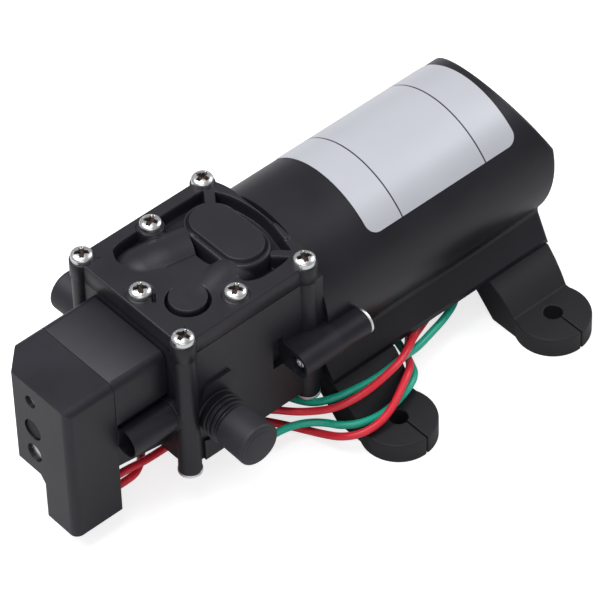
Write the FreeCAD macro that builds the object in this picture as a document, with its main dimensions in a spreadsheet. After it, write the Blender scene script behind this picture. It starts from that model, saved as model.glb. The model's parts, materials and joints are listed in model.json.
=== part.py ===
import FreeCAD, Part
import math
import os
import Sketcher
from FreeCAD import Placement, Rotation, Vector

# Small 12 V diaphragm pump, millimetres. +X points to the rear of the motor, +Z is up,
# the rubber feet stand on z = 0 and x = 0, y = 0 is the middle of the outline.

doc = FreeCAD.newDocument("DiaphragmPump")
sheet = doc.addObject("Spreadsheet::Sheet", "Sizes")
nodes = {}


class Size:
    """A number that keeps the sheet formula it was worked out from."""

    def __init__(self, value, text):
        self.value = value
        self.text = text

    def __add__(self, other):
        other = size(other)
        return Size(self.value + other.value, f"({self.text} + {other.text})")

    def __sub__(self, other):
        other = size(other)
        return Size(self.value - other.value, f"({self.text} - {other.text})")

    def __mul__(self, other):
        other = size(other)
        return Size(self.value * other.value, f"({self.text} * {other.text})")

    def __truediv__(self, other):
        other = size(other)
        return Size(self.value / other.value, f"({self.text} / {other.text})")

    def __radd__(self, other):
        return size(other) + self

    def __rsub__(self, other):
        return size(other) - self

    def __rmul__(self, other):
        return size(other) * self

    def __neg__(self):
        return Size(-self.value, f"(0 - {self.text})")


def size(number):
    return number if isinstance(number, Size) else Size(float(number), repr(float(number)))


def cell(alias, value, note):
    """Puts one driving dimension in the sheet and returns it."""
    row = cell.row = getattr(cell, "row", 0) + 1
    sheet.set(f"A{row}", note)
    sheet.set(f"B{row}", repr(value))
    sheet.setAlias(f"B{row}", alias)
    return Size(float(value), f"Sizes.{alias}")


# Motor and its housing
housingR = cell("housingRadius", 24.75, "outside of the motor housing")
housingWall = cell("housingWall", 2.15, "wall of the motor housing")
canGap = cell("canGap", 0.3, "housing bore round the steel can")
canWall = cell("canWall", 1.4, "steel can")
jointX = cell("jointPlane", -1.6, "joint of the pump head and the motor housing")
rearX = cell("rearEnd", 82.3, "rear end of the motor housing")
endWall = cell("endWall", 9.3, "rear wall of the motor housing at the axis")
rakeRun = cell("rakeRun", 8.1, "length of the sloped top at the rear end")
rakeDrop = cell("rakeDrop", 17.0, "height of the sloped top at the rear end")
rimRound = cell("rimRound", 1.2, "rounding of the rear rim")
# Base and its rails
baseZ = cell("baseBottom", 14.0, "underside of the base rails")
baseHalf = cell("baseHalf", 24.7, "half width of the base at the rails")
baseSink = cell("baseSink", 0.35, "housing below the underside of the rails")
skirtRound = cell("skirtRound", 2.5, "hollow between the skirt and the housing")
railFront = cell("railFront", -0.4, "front end of the base")
railRear = cell("railRear", 79.2, "rear end of the base at its underside")
slotIn = cell("slotInset", 7.7, "foot slot from the side of the base")
slotNeck = cell("slotNeck", 2.8, "foot slot, narrow part")
slotHead = cell("slotHead", 5.8, "foot slot, wide part")
slotLip = cell("slotLip", 2.2, "lip under the wide part of the foot slot")
slotHigh = cell("slotHigh", 2.2, "height of the wide part of the foot slot")
slotGap = cell("slotGap", 0.15, "rubber foot in its slot, each side")
# Feet
footFrontX = cell("frontFootX", 9.3, "front feet")
footPitch = cell("footPitch", 57.3, "front to rear feet")
footReach = cell("footReach", 15.2, "foot hole from the side of the base")
legFore = cell("legFore", 9.8, "foot's leg ahead of its hole")
legAft = cell("legAft", 12.4, "foot's leg behind its hole, at the rail")
legTaper = cell("legTaper", 2.3, "narrowing of the leg down to the pad")
padR = cell("padRadius", 10.8, "round pad of a foot")
padHigh = cell("padHeight", 6.6, "height of the pad")
footHoleR = cell("footHoleRadius", 2.6, "fixing hole in a foot")
footSlit = cell("footSlit", 1.2, "slit from the fixing hole to the edge")
slitShift = cell("slitShift", 0.6, "slit behind the middle of the hole")
# Pump head
headX = cell("headCentreX", -26.36, "middle of the cover screws")
screwDX = cell("screwSpacingX", 41.6, "corner screws along X")
screwDY = cell("screwSpacingY", 40.6, "corner screws along Y")
midScrewY = cell("midScrewY", 17.0, "side screws from the middle")
midScrewX = cell("frontScrewX", 17.9, "front screw ahead of the middle")
headFront = cell("headFront", -48.9, "front wall of the pump head")
headHalf = cell("headHalf", 21.8, "half width of the pump head")
headBottom = cell("headBottom", 15.0, "underside of the pump head")
seamUp = cell("seamAboveShaft", 17.2, "seam of the head and the cover above the shaft")
coverHigh = cell("coverHeight", 5.8, "cover flange above the seam")
bossR = cell("bossRadius", 3.2, "corner boss")
bossFoot = cell("bossFoot", 12.9, "foot of the corner bosses")
nutR = cell("nutRadius", 2.45, "nut of a corner screw")
nutDeep = cell("nutDepth", 2.2, "seat of a corner nut in its boss")
nutProud = cell("nutProud", 0.6, "corner nut below its boss")
screwR = cell("screwRadius", 1.3, "cover screw shank")
screwHead = cell("screwHeadRadius", 3.1, "cover screw head")
screwHeadHigh = cell("screwHeadHeight", 2.2, "cover screw head height")
screwLong = cell("screwLength", 14.0, "cover screw below its head")
fitGap = cell("fitGap", 0.1, "clearance round seated pieces")
# Ports
portX = cell("portX", -39.7, "ports along X")
portDrop = cell("portDrop", 8.2, "ports below the shaft")
portBore = cell("portBore", 3.0, "bore of a port")
plateOut = cell("portPlate", 0.9, "plate round a port, proud of the wall")
recessR = cell("portRecess", 8.7, "round recess behind a port")
recessDeep = cell("portRecessDepth", 1.5, "round recess behind a port")
shoulder = cell("portShoulder", 1.6, "shoulder of a port outside the wall")
neckR = cell("portNeck", 5.6, "neck of a port")
neckLong = cell("portNeckLength", 0.4, "length of the neck")
threadR = cell("portThread", 7.3, "outside of the port thread")
threadLong = cell("portThreadLength", 3.7, "length of the port thread")
stubR = cell("portStub", 4.5, "hose stub under the cap")
stubLong = cell("portStubLength", 10.0, "length of the hose stub")
capWall = cell("capWall", 1.8, "wall of a dust cap")
capEnd = cell("capEnd", 1.9, "end wall of a dust cap")
# Crank drive
throw = cell("crankThrow", 1.0, "offset of the eccentric")
shaftNeckR = cell("shaftNeck", 1.585, "shaft in the eccentric")
shaftR = cell("shaftRadius", 2.5, "shaft in the motor")
runGap = cell("runningGap", 0.04, "radial clearance of a turning shaft")
crankX = cell("crankX", -14.5, "plane of the eccentric")
eccR = cell("eccentricRadius", 3.0, "journal of the eccentric")
bearingR = cell("bearingRadius", 5.0, "outside of the eccentric's bearing")
bearingLong = cell("bearingLength", 4.0, "width of the eccentric's bearing")
ringPlay = cell("ringPlay", 1.75, "room round the bearing in the rocker's ring")
ringWall = cell("ringWall", 1.45, "wall of the rocker's ring")
rockerLong = cell("rockerWidth", 5.6, "width of the rocker along the shaft")
chamberR = cell("crankChamber", 12.0, "crank chamber")
plungerY = cell("plungerY", 6.8, "pump chamber from the middle")
deckDrop = cell("deckDrop", 5.0, "deck under the diaphragm, below the seam")
deckThick = cell("deckThickness", 1.6, "deck under the diaphragm")
sheetThick = cell("diaphragmThickness", 1.4, "diaphragm sheet")
plateHalfY = cell("plateHalfY", 13.0, "valve plate half width")
plateHalfX = cell("plateHalfX", 9.3, "valve plate half length")
chamberDeep = cell("chamberDepth", 2.0, "pump chamber in the valve plate")
pumpR = cell("pumpRadius", 4.8, "pump chamber radius")
# Pressure switch
boxFront = cell("boxFront", -82.3, "front face of the switch box")
boxSeam = cell("boxSeam", -66.4, "seam of the switch box")
boxHalf = cell("boxHalf", 15.0, "half width of the switch box")
boxUp = cell("boxAboveShaft", 15.2, "top of the switch box above the shaft")
boxDown = cell("boxBelowShaft", 17.0, "underside of the switch box below the shaft")
legBottom = cell("legBottom", 6.6, "underside of the box's leg")
legInner = cell("legInner", -3.4, "inner side of the box's leg")
boxWall = cell("boxWall", 1.9, "wall of the switch box")
boxChamfer = cell("boxChamfer", 7.8, "cut front corner of the switch box")
boxRound = cell("boxRound", 2.4, "rounding of the switch box")
switchDrop = cell("switchDrop", 1.2, "axis of the pressure switch below the shaft")
screwUp = cell("upperBoxScrew", 9.4, "upper screw of the switch box above the shaft")
screwDown = cell("lowerBoxScrew", 10.0, "lower screw of the switch box below the shaft")
tubeY = cell("tubeY", 12.0, "mounting tubes of the switch body")
tubeDrop = cell("tubeDrop", 11.5, "mounting tubes of the switch body below the shaft")
tubeR = cell("tubeRadius", 4.6, "mounting tubes of the switch body")
waistHalf = cell("waistHalf", 13.6, "half width of the switch body below its shelf")
shelfDrop = cell("shelfDrop", 7.0, "shelf of the switch body below the shaft")
bellyDrop = cell("bellyDrop", 20.0, "underside of the switch body at the head")
tubeFront = cell("tubeFront", -61.1, "mouth of the mounting tubes")
plungerTravel = cell("switchTravel", 1.2, "travel of the switch plunger")
# Side bosses between the head and the motor
earOut = cell("earOut", 2.45, "side bosses outside the housing")
earDrop = cell("earDrop", 3.9, "side bosses below the shaft")
earR = cell("earRadius", 4.0, "side bosses")
earFront = cell("earFront", -15.0, "front of the side bosses")
earRear = cell("earRear", 8.2, "rear of the side bosses")
washerR = cell("washerRadius", 3.6, "nut plate of a side screw")
washerThick = cell("washerThickness", 0.7, "nut plate of a side screw")
# Label
labelFront = cell("labelFront", 18.4, "front edge of the label")
labelRear = cell("labelRear", 71.8, "rear edge of the label")
labelSpan = cell("labelSpan", 104.4, "angle that the label wraps")
labelThick = cell("labelThickness", 0.15, "label sheet")
labelCorner = cell("labelCorner", 3.2, "rounded corner of the label")
# Leads
leadR = cell("leadRadius", 1.1, "insulated lead")

turns = {
    "x": Rotation(Vector(0, 1, 0), 90),
    "y": Rotation(Vector(1, 0, 0), -90),
    "z": Rotation(),
}


def bind(thing, prop, number):
    thing.setExpression(prop, size(number).text)


def place(thing, at, along="z"):
    thing.Placement = Placement(Vector(*[size(c).value for c in at]), turns[along])
    for axis, number in zip("xyz", at):
        bind(thing, f"Placement.Base.{axis}", number)
    return thing


def cylinder(radius, length, at, along):
    """A round bar that starts at a point and runs along +x, +y or +z."""
    rod = doc.addObject("Part::Cylinder", "Rod")
    bind(rod, "Radius", radius)
    bind(rod, "Height", length)
    return place(rod, at, along)


def block(low, high):
    """A box between two corners."""
    bar = doc.addObject("Part::Box", "Block")
    for prop, start, end in zip(("Length", "Width", "Height"), low, high):
        bind(bar, prop, size(end) - start)
    return place(bar, low)


def union(things):
    fused = doc.addObject("Part::MultiFuse", "Union")
    fused.Shapes = things
    return fused


def minus(base, tools):
    taken = doc.addObject("Part::Cut", "Difference")
    taken.Base = base
    taken.Tool = tools[0] if len(tools) == 1 else union(tools)
    return taken


def node(thing, name):
    thing.Label = name
    nodes[name] = thing
    return thing


def body(name):
    return node(doc.addObject("PartDesign::Body", "Body"), name)


def sketch(holder, role, offset, shift=(0, 0)):
    """A sketch on an origin plane of its body: XY looks up +Z, YZ along +X, XZ along -Y."""
    drawing = holder.newObject("Sketcher::SketchObject", "Sketch")
    flat = next(o for o in holder.Origin.OriginFeatures if o.Role == f"{role}_Plane")
    drawing.AttachmentSupport = (flat, [""])
    drawing.MapMode = "FlatFace"
    bind(drawing, "AttachmentOffset.Base.x", shift[0])
    bind(drawing, "AttachmentOffset.Base.y", shift[1])
    bind(drawing, "AttachmentOffset.Base.z", -size(offset) if role == "XZ" else offset)
    return drawing


def pin_point(drawing, geometry, point, at):
    """Fixes a sketch point by its two coordinates."""
    for kind, number in zip(("DistanceX", "DistanceY"), at):
        index = drawing.addConstraint(
            Sketcher.Constraint(kind, -1, 1, geometry, point, size(number).value))
        bind(drawing, f"Constraints[{index}]", number)


def outline(drawing, points):
    """A closed outline through points given by their two coordinates."""
    count = len(points)
    first = drawing.GeometryCount
    corners = [Vector(size(u).value, size(v).value, 0) for u, v in points]
    for i in range(count):
        drawing.addGeometry(Part.LineSegment(corners[i], corners[(i + 1) % count]), False)
    for i in range(count):
        drawing.addConstraint(
            Sketcher.Constraint("Coincident", first + i, 2, first + (i + 1) % count, 1))
    for i in range(count):
        pin_point(drawing, first + i, 1, points[i])


def ring(drawing, centre, radius):
    at = Vector(size(centre[0]).value, size(centre[1]).value, 0)
    index = drawing.addGeometry(Part.Circle(at, Vector(0, 0, 1), size(radius).value), False)
    pin_point(drawing, index, 3, centre)
    held = drawing.addConstraint(Sketcher.Constraint("Radius", index, size(radius).value))
    bind(drawing, f"Constraints[{held}]", radius)


def feature(holder, kind, drawing, length, reverse=False):
    made = holder.newObject(f"PartDesign::{kind}", kind)
    made.Profile = drawing
    bind(made, "Length", length)
    made.Reversed = reverse
    return made


def pad(holder, role, offset, length, outlines=(), rings=(), reverse=False):
    drawing = sketch(holder, role, offset)
    for points in outlines:
        outline(drawing, points)
    for centre, radius in rings:
        ring(drawing, centre, radius)
    return feature(holder, "Pad", drawing, length, reverse)


def pocket(holder, role, offset, length, outlines=(), rings=(), reverse=False):
    """Cuts against the sketch's own direction: down for XY, -X for YZ, +Y for XZ."""
    drawing = sketch(holder, role, offset)
    for points in outlines:
        outline(drawing, points)
    for centre, radius in rings:
        ring(drawing, centre, radius)
    return feature(holder, "Pocket", drawing, length, reverse)


def turned(name, along, centre, profile):
    """A turned piece. Its profile holds (place along the axis, radius) pairs."""
    holder = body(name)
    if along == "x":
        drawing = sketch(holder, "XZ", centre[0], (0, centre[1]))
        points, axis = profile, "H_Axis"
    elif along == "y":
        drawing = sketch(holder, "YZ", centre[0], (0, centre[1]))
        points, axis = profile, "H_Axis"
    else:
        drawing = sketch(holder, "XZ", centre[1], (centre[0], 0))
        points, axis = [(r, z) for z, r in profile], "V_Axis"
    outline(drawing, points)
    spun = holder.newObject("PartDesign::Revolution", "Revolution")
    spun.Profile = drawing
    spun.ReferenceAxis = (drawing, [axis])
    spun.Angle = 360
    return holder


def rounded(holder, radius, chosen):
    """Rounds the edges of a body's newest shape that a test picks."""
    doc.recompute()
    tip = holder.Tip
    names = [f"Edge{i + 1}" for i, edge in enumerate(tip.Shape.Edges) if chosen(edge)]
    if not names:
        raise ValueError(f"{holder.Label}: no edge to round")
    fillet = holder.newObject("PartDesign::Fillet", "Fillet")
    fillet.Base = (tip, names)
    bind(fillet, "Radius", radius)
    return fillet


def upright(edge, x, y):
    """True for a vertical edge at a place in plan."""
    ends = [v.Point for v in edge.Vertexes]
    return len(ends) == 2 and all(
        abs(p.x - size(x).value) < 0.01 and abs(p.y - size(y).value) < 0.01 for p in ends)


def rect(x0, y0, x1, y1):
    return [(x0, y0), (x1, y0), (x1, y1), (x0, y1)]


axisZ = baseZ + housingR - baseSink
skirtTop = axisZ - 13.3
skirtHalf = housingR * 0.752
slotY = baseHalf - slotIn
footY = baseHalf + footReach
seamZ = axisZ + seamUp
deckZ = seamZ - deckDrop
portZ = axisZ - portDrop
portFace = headHalf + shoulder
boxTop = axisZ + boxUp
boxBottom = axisZ - boxDown
switchZ = axisZ - switchDrop
upperScrewZ = axisZ + screwUp
lowerScrewZ = axisZ - screwDown
tubeZ = axisZ - tubeDrop
earY = housingR + earOut
earZ = axisZ - earDrop
boreR = housingR - housingWall
boreEnd = rearX - endWall
canR = boreR - canGap
canInner = canR - canWall
topZ = axisZ + housingR
frontScrewX = headX - screwDX / 2
rearScrewX = headX + screwDX / 2
cornerY = screwDY / 2
footRearX = footFrontX + footPitch
coverTop = seamZ + coverHigh


def motor_housing():
    holder = body("motor_housing")
    pad(holder, "YZ", jointX, rearX - jointX, rings=[((0, axisZ), housingR)])
    pad(holder, "YZ", railFront, rearX - railFront, outlines=[[
        (-baseHalf, baseZ), (baseHalf, baseZ), (baseHalf, baseZ + 1.6),
        (skirtHalf, skirtTop), (-skirtHalf, skirtTop), (-baseHalf, baseZ + 1.6)]])
    rounded(holder, skirtRound, lambda e: e.BoundBox.XLength > 20 and all(
        skirtHalf.value < abs(v.Point.y) < baseHalf.value - 1 and v.Point.z < skirtTop.value
        for v in e.Vertexes))
    past = earY + earR + 2
    pocket(holder, "XZ", -past, past * 2, outlines=[[
        (rearX - rakeRun, topZ), (rearX - rakeRun, topZ + 2), (rearX + 2, topZ + 2),
        (rearX + 2, baseZ - 2), (railRear, baseZ - 2), (railRear, baseZ),
        (rearX, topZ - rakeDrop)]])
    rounded(holder, rimRound, lambda e: (
        min(v.Point.x for v in e.Vertexes) > (rearX - rakeRun).value - 0.1
        and max(v.Point.z for v in e.Vertexes) > skirtTop.value + 5))
    outer = earR - 0.2
    pad(holder, "YZ", jointX, earRear - jointX,
        outlines=[rect(-earY, earZ - outer, earY, earZ + outer)])
    pad(holder, "YZ", jointX, earRear - jointX,
        rings=[((side * earY, earZ), outer) for side in (-1, 1)])
    pocket(holder, "YZ", boreEnd, boreEnd - jointX, rings=[((0, axisZ), boreR)])
    neck, head = slotNeck / 2, slotHead / 2
    lip = baseZ + slotLip
    slots = []
    for side in (-1, 1):
        slots.append([(side * slotY + du, dz) for du, dz in (
            (-neck, baseZ - 1), (neck, baseZ - 1), (neck, lip), (head, lip),
            (head, lip + slotHigh), (-head, lip + slotHigh), (-head, lip), (-neck, lip))])
    pocket(holder, "YZ", rearX + 1, rearX - railFront + 2, outlines=slots)
    pocket(holder, "YZ", earRear + 1, earRear - jointX + 2,
           rings=[((side * earY, earZ), 1.7) for side in (-1, 1)])
    pocket(holder, "XY", axisZ - boreR + 3, 6 + housingWall, rings=[((grommetX, 0), grommetR)])


grommetX = cell("grommetX", 66.0, "lead outlet under the motor")
grommetR = cell("grommetRadius", 4.4, "hole of the lead outlet")


def motor_inside():
    canFront = jointX + canGap
    canRear = boreEnd - canGap
    seatR = 6.9
    can = turned("motor_can", "x", (0, axisZ), [
        (canFront, 5.6), (canFront, canR), (canRear, canR), (canRear, canInner),
        (canFront + canWall, canInner), (canFront + canWall, seatR),
        (canFront + 5.4, seatR), (canFront + 5.4, 5.6)])
    pocket(can, "XY", axisZ - canInner + 3, 8, rings=[((grommetX, 0), 3.2)])
    turned("front_bearing", "x", (0, axisZ), [
        (canFront, shaftR + runGap), (canFront, 5.55), (canFront + 5.2, 5.55),
        (canFront + 5.2, shaftR + runGap)])
    plateX = canRear - 3
    seat = canRear - 0.2
    plate = turned("brush_plate", "x", (0, axisZ), [
        (plateX - 3, 5.6), (plateX - 3, 7.2), (plateX, 7.2), (plateX, canInner - 0.1),
        (seat, canInner - 0.1), (seat, 3.2), (seat - 1.2, 3.2), (seat - 1.2, 5.6)])
    for side in (-1, 1):
        low = side * 7.6 if side > 0 else -16.0
        pad(plate, "YZ", plateX - 8.0, 8.0,
            outlines=[rect(low, axisZ - 3.4, low + 8.4, axisZ + 3.4)])
    pocket(plate, "YZ", plateX - 3.1, 4,
           outlines=[rect(side * 12 - 5, axisZ - 2.1, side * 12 + 5, axisZ + 2.1)
                     for side in (-1, 1)])
    turned("rear_bearing", "x", (0, axisZ), [
        (plateX - 2.8, shaftR + runGap), (plateX - 2.8, 5.5), (seat - 1.3, 5.5),
        (seat - 1.3, shaftR + runGap)])
    brushIn = commR + 0.1
    node(union([
        block((plateX - 7.0, brushIn if side > 0 else -brushIn - 9, axisZ - 2),
              (plateX - 3.2, brushIn + 9 if side > 0 else -brushIn, axisZ + 2))
        for side in (-1, 1)]), "brushes")
    magnets = []
    for side in (-1, 1):
        outer = cylinder(canInner - 0.15, 40, (12, 0, axisZ), "x")
        inner = cylinder(coreR + 0.6, 42, (11, 0, axisZ), "x")
        outer.Angle = 130
        outer.Placement = Placement(
            outer.Placement.Base,
            Rotation(Vector(1, 0, 0), 180 * (side > 0) + 25).multiply(turns["x"]))
        bind(outer, "Placement.Base.z", axisZ)
        magnets.append(minus(outer, [inner]))
    node(union(magnets), "field_magnets")


coreR = cell("coreRadius", 13.4, "armature core")
commR = cell("commutatorRadius", 5.2, "commutator")


def rotor():
    turned("motor_shaft", "x", (0, axisZ), [
        (crankX - 5, 0), (crankX - 5, shaftNeckR), (jointX - 3, shaftNeckR),
        (jointX - 3, shaftR), (boreEnd - 2.6, shaftR), (boreEnd - 2.6, 0)])
    core = body("armature_core")
    pad(core, "YZ", 14, 36, rings=[((0, axisZ), coreR), ((0, axisZ), shaftR + 0.02)])
    mouth = 1.3
    slotDrawing = sketch(core, "YZ", 51)
    outline(slotDrawing, [
        (-mouth, axisZ + coreR + 1), (-mouth, axisZ + coreR - 1.6),
        (-3.6, axisZ + coreR - 2.6), (-1.9, axisZ + 6.2), (1.9, axisZ + 6.2),
        (3.6, axisZ + coreR - 2.6), (mouth, axisZ + coreR - 1.6), (mouth, axisZ + coreR + 1)])
    slot = feature(core, "Pocket", slotDrawing, 38)
    doc.recompute()
    spider = core.newObject("PartDesign::PolarPattern", "Spider")
    spider.Originals = [slot]
    axisLine = sketch(core, "YZ", 51, (0, axisZ))
    spider.Axis = (axisLine, ["N_Axis"])
    spider.Angle = 360
    spider.Occurrences = 5
    core.Tip = spider
    coils = [cylinder(11.4, 5, (8.8, 0, axisZ), "x"), cylinder(11.4, 5, (50.2, 0, axisZ), "x")]
    bars = []
    for i in range(5):
        a = math.radians(90 + 72 * i)
        bars.append(cylinder(1.7, 42, (11, 8.6 * math.cos(a), axisZ + 8.6 * math.sin(a)), "x"))
    hollow = cylinder(shaftR + 0.02, 60, (5, 0, axisZ), "x")
    node(minus(union(coils + bars), [hollow]), "armature_windings")
    turned("commutator", "x", (0, axisZ), [
        (57, shaftR + 0.02), (57, 6.4), (58.2, 6.4), (58.2, commR), (boreEnd - 6.8, commR),
        (boreEnd - 6.8, shaftR + 0.02)])
    weight = body("eccentric")
    pad(weight, "YZ", crankX - 4.2, 8.0, rings=[((0, axisZ + throw), eccR)])
    pad(weight, "YZ", crankX + 3.8, 2.4, outlines=[[
        (-6.5, axisZ - 4.2), (6.5, axisZ - 4.2), (6.9, axisZ - 0.5), (3.2, axisZ + 3.6),
        (-3.2, axisZ + 3.6), (-6.9, axisZ - 0.5)]])
    pocket(weight, "YZ", crankX + 7, 14, rings=[((0, axisZ), shaftNeckR + 0.03)])
    half = bearingLong / 2
    turned("eccentric_bearing", "x", (0, axisZ + throw), [
        (crankX - half, eccR + 0.03), (crankX - half, bearingR), (crankX + half, bearingR),
        (crankX + half, eccR + 0.03)])


def pump_head():
    head = body("pump_head")
    high = seamZ - headBottom
    pad(head, "XY", headBottom, high, outlines=[rect(headFront, -headHalf, jointX, headHalf)])
    corners = [(x, side * cornerY) for x in (frontScrewX, rearScrewX) for side in (-1, 1)]
    # Plate and round recess at each port, then the corner bosses and the side bosses
    for side in (-1, 1):
        pad(head, "XZ", headHalf + plateOut if side > 0 else -headHalf, plateOut, outlines=[
            [(portX - 3.9, headBottom), (portX + 6.1, headBottom), (portX + 6.1, portZ + 12.1),
             (portX - 1.3, portZ + 12.1), (portX - 3.1, portZ + 11.3),
             (portX - 3.9, portZ + 9.5)]])
        pocket(head, "XZ", headHalf - recessDeep if side > 0 else -headHalf - plateOut - 1,
               recessDeep + plateOut + 1, rings=[((portX, portZ), recessR)])
    pad(head, "XY", bossFoot, seamZ - bossFoot, rings=[(at, bossR) for at in corners])
    pad(head, "YZ", earFront, jointX - earFront,
        outlines=[rect(-earY, earZ - earR, earY, earZ + earR)])
    pad(head, "YZ", earFront, jointX - earFront,
        rings=[((side * earY, earZ), earR) for side in (-1, 1)])
    for side in (-1, 1):
        pad(head, "XZ", headHalf + webOut if side > 0 else -headHalf, webOut,
            outlines=[rect(rearScrewX, earZ + earR, jointX, seamZ)])
        pocket(head, "XZ", headHalf - 2 if side > 0 else -headHalf - 1, 3,
               outlines=[rect(earFront - 3.6, earZ - 3.5, earFront, earZ + 6.7)])
    pocket(head, "YZ", jointX + 1, jointX - earFront + 2,
           rings=[((side * earY, earZ), 1.7) for side in (-1, 1)])
    pocket(head, "YZ", earFront + 2.4, 3.4,
           rings=[((side * earY, earZ), 3.0) for side in (-1, 1)])
    # Crank chamber, rocker well and the deck's two holes
    pocket(head, "YZ", jointX, jointX - crankX + 8.5, rings=[((0, axisZ), chamberR)])
    wellHalf = rockerLong / 2 + 3.2
    pocket(head, "XY", deckZ - deckThick, deckZ - deckThick - axisZ, outlines=[
        rect(crankX - wellHalf, -11.2, crankX + wellHalf, 11.2)])
    pocket(head, "XY", deckZ, deckThick, rings=[
        ((crankX, side * plungerY), 4.6) for side in (-1, 1)])
    hx, hy = plateHalfX + fitGap, plateHalfY + fitGap
    pocket(head, "XY", seamZ, seamZ - deckZ,
           outlines=[rect(crankX - hx, -hy, crankX + hx, hy)])
    # Seal groove round the valve plate and round the two risers
    pocket(head, "XY", seamZ, sealDeep, outlines=[
        rect(crankX - hx - 1.8, -hy - 1.8, crankX + hx + 1.8, hy + 1.8),
        rect(crankX - hx - 0.5, -hy - 0.5, crankX + hx + 0.5, hy + 0.5)])
    risers = [((portX, side * riserY), portBore) for side in (-1, 1)]
    pocket(head, "XY", seamZ, sealDeep, rings=[(c, sealR) for c, r in risers])
    pocket(head, "XY", seamZ, seamZ - portZ, rings=risers)
    for side in (-1, 1):
        start = -portFace - 1 if side < 0 else riserY - portBore
        pocket(head, "XZ", start, portFace + 1 - riserY + portBore,
               rings=[((portX, portZ), portBore)])
        start = -portFace - 1 if side < 0 else portFace - spigotLong
        pocket(head, "XZ", start, spigotLong + 1,
               rings=[((portX, portZ), neckR + fitGap)])
    pocket(head, "YZ", portX, portX - headFront + 1, rings=[((-riserY + 1.8, switchZ), 1.3)])
    # Through holes of the corner screws with their nuts, then the short screws' blind holes
    pocket(head, "XY", seamZ, seamZ - bossFoot + 1,
           rings=[(at, screwR + 0.05) for at in corners])
    pocket(head, "XY", bossFoot, nutDeep + 0.1, reverse=True,
           rings=[(at, nutR + 0.05) for at in corners])
    holes = [((headX, side * midScrewY), screwR + 0.05) for side in (-1, 1)]
    holes.append(((headX - midScrewX, 0), screwR + 0.05))
    pocket(head, "XY", seamZ, screwLong - coverHigh + 1, rings=holes)
    pocket(head, "YZ", headFront + 6.0, 7.0,
           rings=[((side * tubeY, tubeZ), screwR + 0.05) for side in (-1, 1)])
    # Moulded pockets in the underside, with a web between them
    pocket(head, "XY", headBottom, 6.5, reverse=True, outlines=[
        rect(headFront + 3, -15, headX - 1.2, -1.2), rect(headFront + 3, 1.2, headX - 1.2, 15),
        rect(headX + 1.2, -15, jointX - 3, -1.2), rect(headX + 1.2, 1.2, jointX - 3, 15)])


riserY = cell("riserY", 8.1, "risers from the ports to the cover")
sealDeep = cell("sealDepth", 1.0, "seal groove depth")
sealR = cell("riserSealRadius", 4.2, "seal round a riser")
spigotLong = cell("spigotLength", 6.4, "port spigot in the head")
webOut = cell("webOut", 1.1, "web behind a rear corner boss")


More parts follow.
